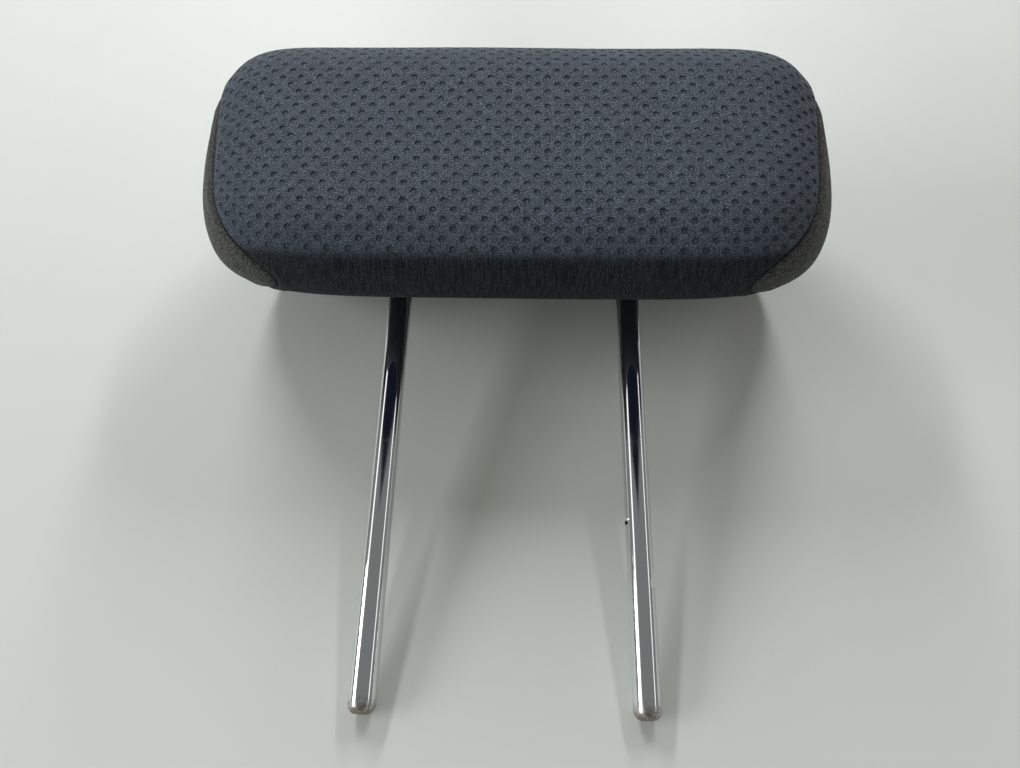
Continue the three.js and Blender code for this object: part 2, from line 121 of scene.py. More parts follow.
@dataclass(frozen=True)
class CushionForm:
    """The cushion's outer form: a rounded side outline that shrinks sideways to a pole at each side."""

    half_width: float = 140 * MM
    front: float = 55 * MM
    back: float = 43 * MM
    back_lean: float = 5 * MM
    height: float = 110 * MM
    underside: float = UNDERSIDE
    nose_radius: float = 17 * MM
    nose_setback: float = 21 * MM
    nose_drop: float = 25.8 * MM
    nose_front_deg: float = 203
    nose_back_deg: float = 335
    heel_radius: float = 64 * MM
    top_front_radius: float = 42 * MM
    top_rear_radius: float = 40 * MM
    rear_bottom_radius: float = 22 * MM
    rear_bottom_rise: float = 27 * MM
    underside_reach: float = 12.5 * MM
    underside_fillet: float = 2.4 * MM
    underside_back_radius: float = 8 * MM
    edge_power: float = 1.8
    side_ease_power: float = 1.2
    corner_power_bottom: float = 5.9
    corner_power_top: float = 14
    seam_inset: float = 7 * MM
    seam_lean: float = 13 * MM
    seam_tuck: float = 26 * MM
    seam_tuck_power: float = 14
    rear_seam_share: float = 0.55
    outline_step: float = 0.4 * MM

    @property
    def top(self) -> float:
        """Height of the cushion's top."""
        return self.underside + self.height

    @property
    def rear_bottom(self) -> float:
        """Height of the lower rear corner."""
        return self.underside + self.rear_bottom_rise

    @property
    def rear_seam_height(self) -> float:
        """Height of the seam across the back."""
        return self.top - (self.top - self.rear_bottom) * self.rear_seam_share

    @property
    def nose(self) -> Vector:
        """Centre of the lower roll in the YZ plane."""
        return Vector((-self.front + self.nose_setback, self.underside - self.nose_drop + self.nose_radius))

    def corners(self) -> list[tuple[float, float, float]]:
        """Corners of the side outline before rounding.

        Returns:
            Y, Z and fillet radius of each, from the closure line forwards, up the front and over the top.
        """
        nose, radius = self.nose, self.nose_radius

        def tangent(degrees: float) -> Vector:
            """Outward facing of the roll at an angle."""
            return Vector((math.cos(math.radians(degrees)), math.sin(math.radians(degrees))))

        front, back = tangent(self.nose_front_deg), tangent(self.nose_back_deg)
        middle = tangent((self.nose_front_deg + self.nose_back_deg) / 2)
        reach = radius / math.cos(math.radians(self.nose_back_deg - self.nose_front_deg) / 2)
        fold_y = nose.x + (radius - back.y * (self.underside - nose.y)) / back.x
        heel_z = nose.y + (radius - front.x * (-self.front - nose.x)) / front.y
        rear_top = self.back - self.back_lean
        return [
            (0.0, self.underside, 0.0),
            (fold_y, self.underside, self.underside_fillet),
            (nose.x + reach * middle.x, nose.y + reach * middle.y, radius),
            (-self.front, heel_z, self.heel_radius),
            (-self.front, self.top, self.top_front_radius),
            (rear_top, self.top, self.top_rear_radius),
            (self.back, self.rear_bottom, self.rear_bottom_radius),
            (self.underside_reach, self.underside, self.underside_back_radius),
        ]

    def outline(self) -> tuple[Array, Station]:
        """The rounded side outline.

        Returns:
            Arc length from the closure line, and the stations there. The last one closes the loop.
        """
        corners = self.corners()
        count = len(corners)
        places = [Vector(corner[:2]) for corner in corners]
        sides = [places[(i + 1) % count] - places[i] for i in range(count)]
        turns = [sides[i].angle_signed(sides[i - 1]) if i else 0.0 for i in range(count)]
        cuts = [corner[2] * math.tan(abs(turn) / 2) for corner, turn in zip(corners, turns)]
        rows: list[tuple[float, float, float, float]] = []
        for i, (corner, turn, cut) in enumerate(zip(corners, turns, cuts)):
            along = sides[i - 1].normalized()
            normal = Vector((-along.y, along.x))
            start = places[i] - along * cut
            bulge = -math.copysign(corner[2], turn)
            centre = start - normal * bulge
            steps = max(1, math.ceil(abs(turn) * corner[2] / self.outline_step)) if cut > 0 else 0
            for s in range(steps + 1):
                facing = normal.copy()
                facing.rotate(Matrix.Rotation(turn * s / max(steps, 1), 2))
                point = centre + facing * bulge
                rows.append((point.x, point.y, facing.x, facing.y))
            onward = sides[i].normalized()
            run = sides[i].length - cut - cuts[(i + 1) % count]
            pieces = math.ceil(run / self.outline_step)
            y, z, ny, nz = rows[-1]
            for s in range(1, pieces):
                reach = run * s / pieces
                rows.append((y + onward.x * reach, z + onward.y * reach, ny, nz))
        rows.append(rows[0])
        table = np.array(rows)
        steps_long = np.hypot(*np.diff(table[:, :2], axis=0).T)
        return np.concatenate([[0.0], np.cumsum(steps_long)]), Station(*table.T)


class CushionSurface:
    """Maps places on the cover to space: along the outline, sideways, and outwards from the surface."""

    SHARES = 401
    ROWS = 1101

    def __init__(self, form: CushionForm) -> None:
        """Works out the outline and the sideways lengths.

        Args:
            form: The cushion's sizes.
        """
        self.form = form
        self.arc, self.line = form.outline()
        self.length = float(self.arc[-1])
        self.low = float(self.line.z.min())
        self.middle = np.array([(form.back - form.front) / 2, (self.low + form.top) / 2])
        self.half = np.array([(form.front + form.back) / 2, (form.top - self.low) / 2])
        behind = (self.line.y > form.underside_reach) & (self.arc > self.arc[int(np.argmax(self.line.z))])
        self.rear_seam = float(np.interp(-form.rear_seam_height, -self.line.z[behind], self.arc[behind]))
        self.rows = np.linspace(0, self.length, self.ROWS)
        self.middle_map, self.middle_reach = self._sideways(self._middle_place)
        self.side_map, self.side_reach = self._sideways(self._side_place)

    def station(self, v: Array) -> Station:
        """Places on the outline.

        Args:
            v: Arc length from the closure line.

        Returns:
            The stations there.
        """
        turned = np.mod(v, self.length)
        y, z, ny, nz = (np.interp(turned, self.arc, column) for column in self.line)
        size = np.hypot(ny, nz)
        return Station(y, z, ny / size, nz / size)

    def drop(self, station: Station) -> Array:
        """How far below the top a station lies, as a share of the height."""
        return 1 - (station.z - self.low) / (self.form.top - self.low)

    def corner_power(self, station: Station) -> Array:
        """Exponent of the sideways rounding at a station."""
        top, bottom = self.form.corner_power_top, self.form.corner_power_bottom
        return top + (bottom - top) * self.drop(station)

    def seam_half_width(self, station: Station) -> Array:
        """Half-width of the seam between the middle panels and the side panels.

        Args:
            station: Stations of the outline.

        Returns:
            The half-widths.
        """
        form, drop = self.form, self.drop(station)
        tuck = form.seam_tuck * np.clip(drop, 0, 1) ** form.seam_tuck_power
        return form.half_width - form.seam_inset - form.seam_lean * drop - tuck

    def scale_at(self, station: Station, x: Array) -> Array:
        """Scale of the outline at a sideways place: 1 at the middle and 0 at the side."""
        share = np.minimum(1, np.abs(x) / self.form.half_width)
        return (1 - share ** self.corner_power(station)) ** (1 / self.form.edge_power)

    def half_width_at(self, station: Station, scale: Array) -> Array:
        """Sideways place that has a given scale of the outline."""
        inside = 1 - np.clip(scale, 0, 1) ** self.form.edge_power
        return self.form.half_width * inside ** (1 / self.corner_power(station))

    def surface(self, station: Station, x: Array, scale: Array) -> tuple[Array, Array]:
        """Points on the cushion.

        Args:
            station: Stations of the outline.
            x: Sideways places.
            scale: Scale of the outline there.

        Returns:
            The points and their outward normals.
        """
        form = self.form
        arm = np.stack([station.y, station.z], -1) - self.middle
        reach = 1 / np.linalg.norm(arm / self.half, axis=-1)
        eased = np.clip(1 - scale, 0, 1) ** form.side_ease_power
        oval = unit(arm / self.half ** 2)
        flat = np.stack([station.ny, station.nz], -1)
        facing = unit(oval + (flat - oval) * (1 - eased)[..., None])
        arm = arm * (1 + (reach - 1) * eased)[..., None]
        power = self.corner_power(station)
        sideways = power * np.abs(x / form.half_width) ** (power - 1) / form.half_width
        outwards = form.edge_power * np.clip(scale, 0, 1) ** (form.edge_power - 1) / (facing * arm).sum(-1)
        across = np.sign(x) * sideways
        normal = unit(np.stack([across, outwards * facing[..., 0], outwards * facing[..., 1]], -1))
        flesh = self.middle + scale[..., None] * arm
        return np.stack([x, flesh[..., 0], flesh[..., 1]], -1), normal

    def _middle_place(self, station: Station, share: Array) -> tuple[Array, Array]:
        """Sideways place and scale at a share of the way from the middle to the seam."""
        x = share * self.seam_half_width(station)
        return x, self.scale_at(station, x)

    def _side_place(self, station: Station, share: Array) -> tuple[Array, Array]:
        """Sideways place and scale at a share of the way from the seam to the side's pole.

        Args:
            station: Stations of the outline.
            share: Shares of the way.

        Returns:
            The places and the scales.
        """
        seam_scale = self.scale_at(station, self.seam_half_width(station))
        scale = np.clip(1 - share, 0, 1) * seam_scale
        return self.half_width_at(station, scale), scale

    def _sideways(self, place: Callable[[Station, Array], tuple[Array, Array]]) -> tuple[Array, Array]:
        """Tables that turn a length across the surface into a share of the way.

        Args:
            place: Gives sideways place and scale for stations and shares.

        Returns:
            Shares for even steps of the length, one row for each of the rows, and each row's whole length.
        """
        shares = np.linspace(0, 1, self.SHARES)
        station = self.station(self.rows)
        spread = Station(*(np.repeat(column[:, None], self.SHARES, 1) for column in station))
        points, _ = self.surface(spread, *place(spread, np.broadcast_to(shares, spread.y.shape)))
        steps = np.linalg.norm(np.diff(points, axis=1), axis=-1)
        lengths = np.concatenate([np.zeros((len(steps), 1)), np.cumsum(steps, 1)], 1)
        even = np.stack([np.interp(shares * row[-1], row, shares) for row in lengths])
        return even, lengths[:, -1]

    def _share(self, table: Array, v: Array, part: Array) -> Array:
        """Reads a table of shares between its rows and columns.

        Args:
            table: Table made by _sideways.
            v: Arc lengths along the outline.
            part: Parts of the whole length across, 0 to 1.

        Returns:
            The shares.
        """
        row = np.mod(v, self.length) / self.length * (len(self.rows) - 1)
        column = np.clip(part, 0, 1) * (self.SHARES - 1)
        r = np.minimum(row.astype(int), len(self.rows) - 2)
        c = np.minimum(column.astype(int), self.SHARES - 2)
        fr, fc = row - r, column - c
        low = table[r, c] * (1 - fc) + table[r, c + 1] * fc
        high = table[r + 1, c] * (1 - fc) + table[r + 1, c + 1] * fc
        return low * (1 - fr) + high * fr

    def reach(self, v: Array, side: bool) -> Array:
        """Length across the surface: from the middle to the seam, or from the seam to the pole."""
        lengths = self.side_reach if side else self.middle_reach
        return np.interp(np.mod(v, self.length), self.rows, lengths)

    def middle_point(self, u: Array, v: Array, rise: Array) -> Array:
        """Points on the middle panels.

        Args:
            u: Length across from the middle line, negative to the left.
            v: Arc length along the outline.
            rise: Height over the surface.

        Returns:
            The points.
        """
        station = self.station(v)
        share = self._share(self.middle_map, v, np.abs(u) / self.reach(v, False))
        x, scale = self._middle_place(station, share)
        points, normals = self.surface(station, np.sign(u) * x, scale)
        return points + normals * rise[..., None]

    def side_point(self, t: Array, v: Array, rise: Array, side: Side) -> Array:
        """Points on a side panel.

        Args:
            t: Length across from the seam.
            v: Arc length along the outline.
            rise: Height over the surface.
            side: Which side.

        Returns:
            The points.
        """
        station = self.station(v)
        share = self._share(self.side_map, v, t / self.reach(v, True))
        x, scale = self._side_place(station, share)
        points, normals = self.surface(station, side.value * x, scale)
        return points + normals * rise[..., None]


@dataclass(frozen=True)
class SeamRelief:
    """How the leather rolls into a seam, lifts beside it and puckers along it."""

    depth: float = 1.6 * MM
    roll: float = 2.7 * MM
    lip: float = 0.35 * MM
    lip_place: float = 5.5 * MM
    lip_width: float = 2.6 * MM
    pucker: float = 0.16 * MM
    pucker_corner: float = 0.42 * MM
    pucker_reach: float = 6.5 * MM
    pucker_fade: float = 1.5
    pucker_least: float = 0.15
    pucker_waves: tuple[float, ...] = (5.3 * MM, 7.1 * MM, 9.7 * MM, 14.3 * MM)
    sway: float = 0.3 * MM
    sway_waves: tuple[float, ...] = (31 * MM, 43 * MM, 67 * MM, 90 * MM)
    sway_rolls: float = 4
    shade_width: float = 0.8 * MM
    hem: float = 2.6 * MM
    hem_steps: tuple[float, ...] = (0.4, 1.0)
    columns: tuple[float, ...] = (0.0, 0.04, 0.12, 0.24, 0.4, 0.6, 0.8)
    seed: int = 11

    def rise(self, t: Array) -> Array:
        """Height over the cushion at a distance from the seam.

        Args:
            t: Distance from the seam.

        Returns:
            The height, negative in the crease.
        """
        near = 1 - np.clip(t / self.roll, 0, 1)
        roll = -self.depth * (1 - np.sqrt(np.clip(1 - near ** 2, 0, 1)))
        lip = self.lip * np.exp(-(((t - self.lip_place) / self.lip_width) ** 2))
        return roll + lip

    def shade(self, t: Array) -> Array:
        """How much shade is painted on the leather at a distance from the seam, 0 to 1."""
        return np.exp(-(t / self.shade_width) ** 2)

    def puckers(self, v: Array, t: Array, corner: Array, phase: int) -> Array:
        """Small gathers across the seam, which die out away from it.

        Args:
            v: Place along the seam.
            t: Distance from the seam.
            corner: How tightly the seam turns there, 0 to 1.
            phase: Number that tells one seam's pattern from another's.

        Returns:
            Change of height.
        """
        draw = np.random.default_rng(self.seed + phase)
        wave = np.zeros_like(v)
        for length in self.pucker_waves:
            wave += np.sin(2 * np.pi * v / length + draw.uniform(0, 2 * np.pi)) / len(self.pucker_waves)
        size = self.pucker + (self.pucker_corner - self.pucker) * corner
        fade = np.exp(-((t / self.pucker_reach) ** self.pucker_fade))
        return size * wave * fade * np.clip(t / self.roll, self.pucker_least, 1)

    def unevenness(self, points: Array) -> Array:
        """Slow swells of the padded surface.

        Args:
            points: Points on the cushion.

        Returns:
            Change of height.
        """
        draw = np.random.default_rng(self.seed)
        total = np.zeros(points.shape[:-1])
        for length in self.sway_waves:
            heading = unit(draw.normal(size=3))
            wave = np.sin(2 * np.pi * points @ heading / length + draw.uniform(0, 2 * np.pi))
            total += wave / len(self.sway_waves)
        return self.sway * total


# Mesh helpers


def new_piece(name: str, mesh: bpy.types.Mesh) -> bpy.types.Object:
    """Links an object that holds a mesh to the scene.

    Args:
        name: Name of the piece.
        mesh: Its mesh, already in place.

    Returns:
        The object.
    """
    piece = bpy.data.objects.new(name, mesh)
    bpy.context.scene.collection.objects.link(piece)
    return piece


def smooth(mesh: bpy.types.Mesh, sharp_deg: float | None = None) -> None:
    """Shades a mesh smoothly.

    Args:
        mesh: The mesh.
        sharp_deg: Edges that turn more than this stay sharp, if given.
    """
    mesh.polygons.foreach_set("use_smooth", np.ones(len(mesh.polygons), bool))
    if sharp_deg is not None:
        mesh.set_sharp_from_angle(angle=math.radians(sharp_deg))
    mesh.update()


@contextmanager
def edited(mesh: bpy.types.Mesh) -> Iterator[bmesh.types.BMesh]:
    """Opens a mesh for editing, and writes it back at the end.

    Args:
        mesh: The mesh.

    Yields:
        Its editable form.
    """
    shape = bmesh.new()
    shape.from_mesh(mesh)
    yield shape
    shape.to_mesh(mesh)
    shape.free()


def grid_faces(rows: int, columns: int, wrap_rows: bool = False,
               wrap_columns: bool = False) -> list[tuple[int, ...]]:
    """Quads of a grid of points that is stored row by row.

    Args:
        rows: Number of rows.
        columns: Number of columns.
        wrap_rows: Whether the last row meets the first.
        wrap_columns: Whether the last column meets the first.

    Returns:
        Corner indices of each quad.
    """
    faces = []
    for i in range(rows if wrap_rows else rows - 1):
        for j in range(columns if wrap_columns else columns - 1):
            here, onward = i * columns, ((i + 1) % rows) * columns
            k = (j + 1) % columns
            faces.append((here + j, here + k, onward + k, onward + j))
    return faces


def grid_mesh(name: str, points: Array, wrap_rows: bool = False, wrap_columns: bool = False,
              flip: bool = False) -> bpy.types.Mesh:
    """A mesh through a grid of points.

    Args:
        name: Name of the mesh.
        points: Rows by columns by three.
        wrap_rows: Whether the last row meets the first.
        wrap_columns: Whether the last column meets the first.
        flip: Whether the faces turn the other way.

    Returns:
        The mesh, with doubles merged.
    """
    rows, columns = points.shape[:2]
    faces = grid_faces(rows, columns, wrap_rows, wrap_columns)
    if flip:
        faces = [face[::-1] for face in faces]
    mesh = bpy.data.meshes.new(name)
    mesh.from_pydata(points.reshape(-1, 3).tolist(), [], faces)
    with edited(mesh) as shape:
        bmesh.ops.remove_doubles(shape, verts=shape.verts, dist=ONE_PLACE)
    return mesh


def vertex_array(mesh: bpy.types.Mesh) -> Array:
    """The vertices of a mesh as an array.

    Args:
        mesh: The mesh.

    Returns:
        One row of three coordinates for each vertex.
    """
    flat = np.zeros(len(mesh.vertices) * 3)
    mesh.vertices.foreach_get("co", flat)
    return flat.reshape(-1, 3)


def set_vertices(mesh: bpy.types.Mesh, points: Array) -> None:
    """Moves the vertices of a mesh to an array of points."""
    mesh.vertices.foreach_set("co", points.astype(np.float32).ravel())
    mesh.update()


def add_mask(mesh: bpy.types.Mesh, name: str, values: Array) -> None:
    """Stores a number for each vertex, which a material can read.

    Args:
        mesh: The mesh.
        name: Name of the attribute.
        values: One number for each vertex.
    """
    layer = mesh.attributes.get(name) or mesh.attributes.new(name, "FLOAT", "POINT")
    layer.data.foreach_set("value", values.astype(np.float32))


# Node helpers

Span = tuple[float, float]


class Texture(NamedTuple):
    """A noise texture: how many of its waves fit in a metre, their detail, and how rough that is."""

    scale: float
    detail: float = 2.0
    roughness: float = 0.5


class Graph:
    """Adds and joins nodes of one node tree."""

    SPACING = 180

    def __init__(self, tree: bpy.types.NodeTree) -> None:
        """Takes the tree to build in.

        Args:
            tree: A material's, world's or group's node tree.
        """
        self.tree = tree
        self.place = 0

    def add(self, kind: str, values: dict[str | int, object] | None = None,
            **settings: object) -> bpy.types.Node:
        """Adds a node.

        Args:
            kind: Node type.
            values: Input sockets by name or number, each with a value or a socket to join.
            settings: Properties of the node.

        Returns:
            The node.
        """
        node = self.tree.nodes.new(kind)
        node.location = (self.SPACING * self.place, 0)
        self.place += 1
        for name, value in settings.items():
            setattr(node, name, value)
        for key, value in (values or {}).items():
            self.put(node.inputs[key], value)
        return node

    def put(self, socket: bpy.types.NodeSocket, value: object) -> None:
        """Joins a socket to another one, or sets its value.

        Args:
            socket: Input socket.
            value: An output socket or a value.
        """
        if isinstance(value, bpy.types.NodeSocket):
            self.tree.links.new(value, socket)
        else:
            socket.default_value = value

    def math(self, operation: str, a: object, b: object = 0.0, clamp: bool = False) -> bpy.types.NodeSocket:
        """Adds a sum on two values and returns its result."""
        return self.add("ShaderNodeMath", {0: a, 1: b}, operation=operation, use_clamp=clamp).outputs[0]

    def blend(self, share: object, a: object, b: object) -> bpy.types.NodeSocket:
        """Mixes two colours by a share. The mix node's colours are its inputs 6 and 7 and its output 2."""
        return self.add("ShaderNodeMix", {0: share, 6: a, 7: b}, data_type="RGBA").outputs[2]

    def ramp(self, value: object, low: object, high: object, start: float = 0.0,
             end: float = 1.0) -> bpy.types.NodeSocket:
        """Turns the range low to high smoothly into start to end, clamped, and returns the result."""
        values = {0: value, 1: low, 2: high, 3: start, 4: end}
        return self.add("ShaderNodeMapRange", values, interpolation_type="SMOOTHSTEP").outputs[0]

    def noise(self, place: object, texture: Texture, output: str = "Fac") -> bpy.types.NodeSocket:
        """Adds a noise texture.

        Args:
            place: Socket of the place.
            texture: Its sizes.
            output: Fac for one value, or Color for three.

        Returns:
            The socket of its result.
        """
        scale, detail, roughness = texture
        values = {"Vector": place, "Scale": scale, "Detail": detail, "Roughness": roughness}
        return self.add("ShaderNodeTexNoise", values).outputs[output]

    def named(self, name: str) -> bpy.types.NodeSocket:
        """Reads a number stored on the mesh."""
        node = self.add("ShaderNodeAttribute", attribute_name=name, attribute_type="GEOMETRY")
        return node.outputs["Fac"]

    def object_place(self) -> bpy.types.NodeSocket:
        """Reads the place on the piece, in metres."""
        return self.add("ShaderNodeTexCoord").outputs["Object"]

    def dress(self, shader: bpy.types.Node, colour: object, rough: object, height: object,
              strength: float, distance: float) -> None:
        """Feeds a shader's colour, roughness and bump.

        Args:
            shader: The principled shader.
            colour: Socket of its colour.
            rough: Socket of its roughness.
            height: Socket of its height, 0 to 1.
            strength: How strongly the bump shows.
            distance: Height in metres that 1 stands for.
        """
        bump = self.add("ShaderNodeBump", {"Strength": strength, "Distance": distance, "Height": height})
        self.put(shader.inputs["Base Color"], colour)
        self.put(shader.inputs["Roughness"], rough)
        self.put(shader.inputs["Normal"], bump.outputs[0])


GroupStart = tuple[bpy.types.NodeTree, Graph, bpy.types.Node, bpy.types.Node]


def new_group(name: str, inputs: Sequence[tuple[str, str, object]],
              outputs: Sequence[tuple[str, str]]) -> GroupStart:
    """Starts a shader node group.

    Args:
        name: Name of the group.
        inputs: Name, socket type and value of each input.
        outputs: Name and socket type of each output.

    Returns:
        The group, its graph, and its input and output nodes.
    """
    tree = bpy.data.node_groups.new(name, "ShaderNodeTree")
    for label, kind, value in inputs:
        socket = tree.interface.new_socket(label, in_out="INPUT", socket_type=kind)
        socket.default_value = value
    for label, kind in outputs:
        tree.interface.new_socket(label, in_out="OUTPUT", socket_type=kind)
    graph = Graph(tree)
    return tree, graph, graph.add("NodeGroupInput"), graph.add("NodeGroupOutput")


def new_material(name: str) -> tuple[bpy.types.Material, Graph, bpy.types.Node]:
    """Starts a material with a principled shader.

    Args:
        name: Name of the material.

    Returns:
        The material, its graph and the shader node.
    """
    material = bpy.data.materials.new(name)
    material.use_nodes = True
    shader = material.node_tree.nodes["Principled BSDF"]
    return material, Graph(material.node_tree), shader


# Finishes

Colour = tuple[float, float, float]


def rgba(colour: Colour) -> tuple[float, float, float, float]:
    """A colour with full cover."""
    return (*colour, 1.0)


class LeatherGrain:
    """Shared group: pebbled grain of coated leather, with slow changes of colour and gloss."""

    NAME = "leather_grain"
    WANDER = Texture(500.0)
    WANDER_REACH = 0.0009
    FINE = Texture(1800.0, 2.5, 0.62)
    FINE_SPAN = (0.36, 0.64)
    SWELL = Texture(260.0)
    PATCH = Texture(26.0, 4.0, 0.62)
    PEBBLE_HEIGHT = 0.36
    FINE_HEIGHT = 0.56
    SWELL_HEIGHT = 0.3
    TONE_SPAN = (0.1, 1.0)
    GLOSS_SPAN = (0.3, 0.9)
    ROUGHNESS = (0.70, 0.46)
    PATCH_ROUGHNESS = 0.2

    @classmethod
    def group(cls) -> bpy.types.NodeTree:
        """Builds the group once.

        Returns:
            The node group.
        """
        if cls.NAME in bpy.data.node_groups:
            return bpy.data.node_groups[cls.NAME]
        tree, graph, given, result = new_group(
            cls.NAME,
            [
                ("Place", "NodeSocketVector", (0.0, 0.0, 0.0)),
                ("Colour", "NodeSocketColor", (0.1, 0.1, 0.1, 1.0)),
                ("Crease Colour", "NodeSocketColor", (0.02, 0.02, 0.02, 1.0)),
                ("Pebble Scale", "NodeSocketFloat", 900.0),
                ("Pebble Roundness", "NodeSocketFloat", 0.3),
                ("Patchiness", "NodeSocketFloat", 0.12),
            ],
            [
                ("Colour", "NodeSocketColor"),
                ("Roughness", "NodeSocketFloat"),
                ("Height", "NodeSocketFloat"),
            ],
        )
        place, scale = given.outputs["Place"], given.outputs["Pebble Scale"]
        wander = graph.noise(place, cls.WANDER, "Color")
        shift = graph.add("ShaderNodeVectorMath", {0: wander, 1: (cls.WANDER_REACH,) * 3},
                          operation="MULTIPLY").outputs[0]
        bent = graph.add("ShaderNodeVectorMath", {0: place, 1: shift}, operation="ADD").outputs[0]
        cells = graph.add("ShaderNodeTexVoronoi", {"Vector": bent, "Scale": scale},
                          feature="DISTANCE_TO_EDGE").outputs["Distance"]
        pebble = graph.ramp(cells, 0.0, given.outputs["Pebble Roundness"])
        fine = graph.ramp(graph.noise(bent, cls.FINE), *cls.FINE_SPAN)
        swell = graph.noise(place, cls.SWELL)
        height = graph.math("ADD", graph.math("MULTIPLY", pebble, cls.PEBBLE_HEIGHT),
                            graph.math("MULTIPLY", fine, cls.FINE_HEIGHT))
        height = graph.math("ADD", height, graph.math("MULTIPLY", swell, cls.SWELL_HEIGHT))
        cloud = graph.math("SUBTRACT", graph.noise(place, cls.PATCH), 0.5)
        lift = graph.math("ADD", 1.0, graph.math("MULTIPLY", cloud, given.outputs["Patchiness"]))
        toned = graph.add("ShaderNodeVectorMath", {0: given.outputs["Colour"], "Scale": lift},
                          operation="SCALE").outputs[0]
        colour = graph.blend(graph.ramp(height, *cls.TONE_SPAN), given.outputs["Crease Colour"], toned)
        gloss = graph.math("ADD", graph.math("MULTIPLY", cloud, cls.PATCH_ROUGHNESS),
                           graph.ramp(height, *cls.GLOSS_SPAN, *cls.ROUGHNESS))
        graph.put(result.inputs["Colour"], colour)
        graph.put(result.inputs["Roughness"], gloss)
        graph.put(result.inputs["Height"], height)
        return tree


@dataclass(frozen=True)
class LeatherFinish:
    """Coated, grained leather. Masks on the mesh paint shade on the dimple walls, in the seam creases and
    on the lower roll.
    """

    name: str
    colour: Colour
    # Colour of the grain's creases, and the painted shade in the seam creases.
    crease_colour: Colour
    # Painted shade on the dimple walls and feet.
    dot_colour: Colour | None = None
    # Painted shade on the lower roll.
    roll_colour: Colour | None = None
    pebble_scale: float = 980.0
    patchiness: float = 0.5
    bump: float = 0.6 * MM
    bump_strength: float = 0.9
    specular: float = 0.3
    seam_share: float = 0.7
    streak: Texture = Texture(1300.0, 3.0, 0.6)
    streak_stretch: tuple[float, float, float] = (1.0, 0.12, 0.12)
    streak_span: Span = (0.42, 0.6)
    streak_shade: Span = (0.76, 1.0)
    roll_roughness: float = 0.25

    def material(self) -> bpy.types.Material:
        """Builds the material.

        Returns:
            The material.
        """
        material, graph, shader = new_material(self.name)
        place = graph.object_place()
        grain = graph.add("ShaderNodeGroup", node_tree=LeatherGrain.group())
        given = {
            "Place": place, "Colour": rgba(self.colour), "Crease Colour": rgba(self.crease_colour),
            "Pebble Scale": self.pebble_scale, "Patchiness": self.patchiness,
        }
        for name, value in given.items():
            graph.put(grain.inputs[name], value)
        colour, rough = grain.outputs["Colour"], grain.outputs["Roughness"]
        # Painted shade in the seam creases.
        seam = graph.math("MULTIPLY", graph.named("seam_shade"), self.seam_share)
        colour = graph.blend(seam, colour, rgba(self.crease_colour))
        # Painted shade on the lower roll, broken up by fine streaks, with a duller gloss there.
        if self.roll_colour is not None:
            fibres = graph.add("ShaderNodeMapping", {"Vector": place, "Scale": self.streak_stretch})
            streak = graph.noise(fibres.outputs[0], self.streak)
            streak = graph.ramp(streak, *self.streak_span, *self.streak_shade)
            shade = graph.math("MULTIPLY", graph.ramp(graph.named("roll_shade"), 0.0, 1.0), streak)
            colour = graph.blend(shade, colour, rgba(self.roll_colour))
            dulled = graph.math("MULTIPLY", shade, self.roll_roughness)
            rough = graph.math("ADD", rough, dulled, clamp=True)
        # Painted shade on the dimple walls.
        if self.dot_colour is not None:
            colour = graph.blend(graph.named("dimple"), colour, rgba(self.dot_colour))
        graph.dress(shader, colour, rough, grain.outputs["Height"], self.bump_strength, self.bump)
        shader.inputs["Specular IOR Level"].default_value = self.specular
        return material


@dataclass(frozen=True)
class ChromeFinish:
    """Bright chrome plate with fine scratches, worn brown at the post tips."""

    name: str = "chrome_plate"
    colour: Colour = (0.78, 0.79, 0.80)
    worn_colour: Colour = (0.20, 0.155, 0.115)
    worn_height: float = 7 * MM
    worn_ragged: float = 0.012
    worn_share: float = 0.9
    worn_roughness: float = 0.3
    speck: Texture = Texture(900.0, 4.0, 0.7)
    roughness: float = 0.07
    smear: Texture = Texture(70.0, 3.0, 0.6)
    smear_span: Span = (0.45, 0.8)
    smear_roughness: float = 0.09
    scratch: Texture = Texture(2600.0, 3.0, 0.6)
    scratch_span: Span = (0.62, 0.74)
    scratch_stretch: tuple[float, float, float] = (1.0, 1.0, 0.04)
    scratch_roughness: float = 0.08
    scratch_depth: float = 0.02 * MM
    scratch_strength: float = 0.12

    def material(self) -> bpy.types.Material:
        """Builds the material.

        Returns:
            The material.
        """
        material, graph, shader = new_material(self.name)
        place = graph.object_place()
        height = graph.add("ShaderNodeSeparateXYZ", {0: place}).outputs["Z"]
        speck = graph.math("SUBTRACT", graph.noise(place, self.speck), 0.5)
        edge = graph.math("ADD", height, graph.math("MULTIPLY", speck, self.worn_ragged))
        worn = graph.ramp(edge, 0.0, self.worn_height, self.worn_share, 0.0)
        colour = graph.blend(worn, rgba(self.colour), rgba(self.worn_colour))
        stretched = graph.add("ShaderNodeMapping", {"Vector": place, "Scale": self.scratch_stretch})
        streaks = graph.noise(stretched.outputs[0], self.scratch)
        smear = graph.noise(place, self.smear)
        smeared = graph.ramp(smear, *self.smear_span, self.roughness, self.roughness + self.smear_roughness)
        rough = graph.math("ADD", smeared, graph.math("MULTIPLY", worn, self.worn_roughness))
        scratch = graph.ramp(streaks, *self.scratch_span)
        rough = graph.math("ADD", rough, graph.math("MULTIPLY", scratch, self.scratch_roughness))
        graph.dress(shader, colour, rough, streaks, self.scratch_strength, self.scratch_depth)
        shader.inputs["Metallic"].default_value = 1.0
        return material


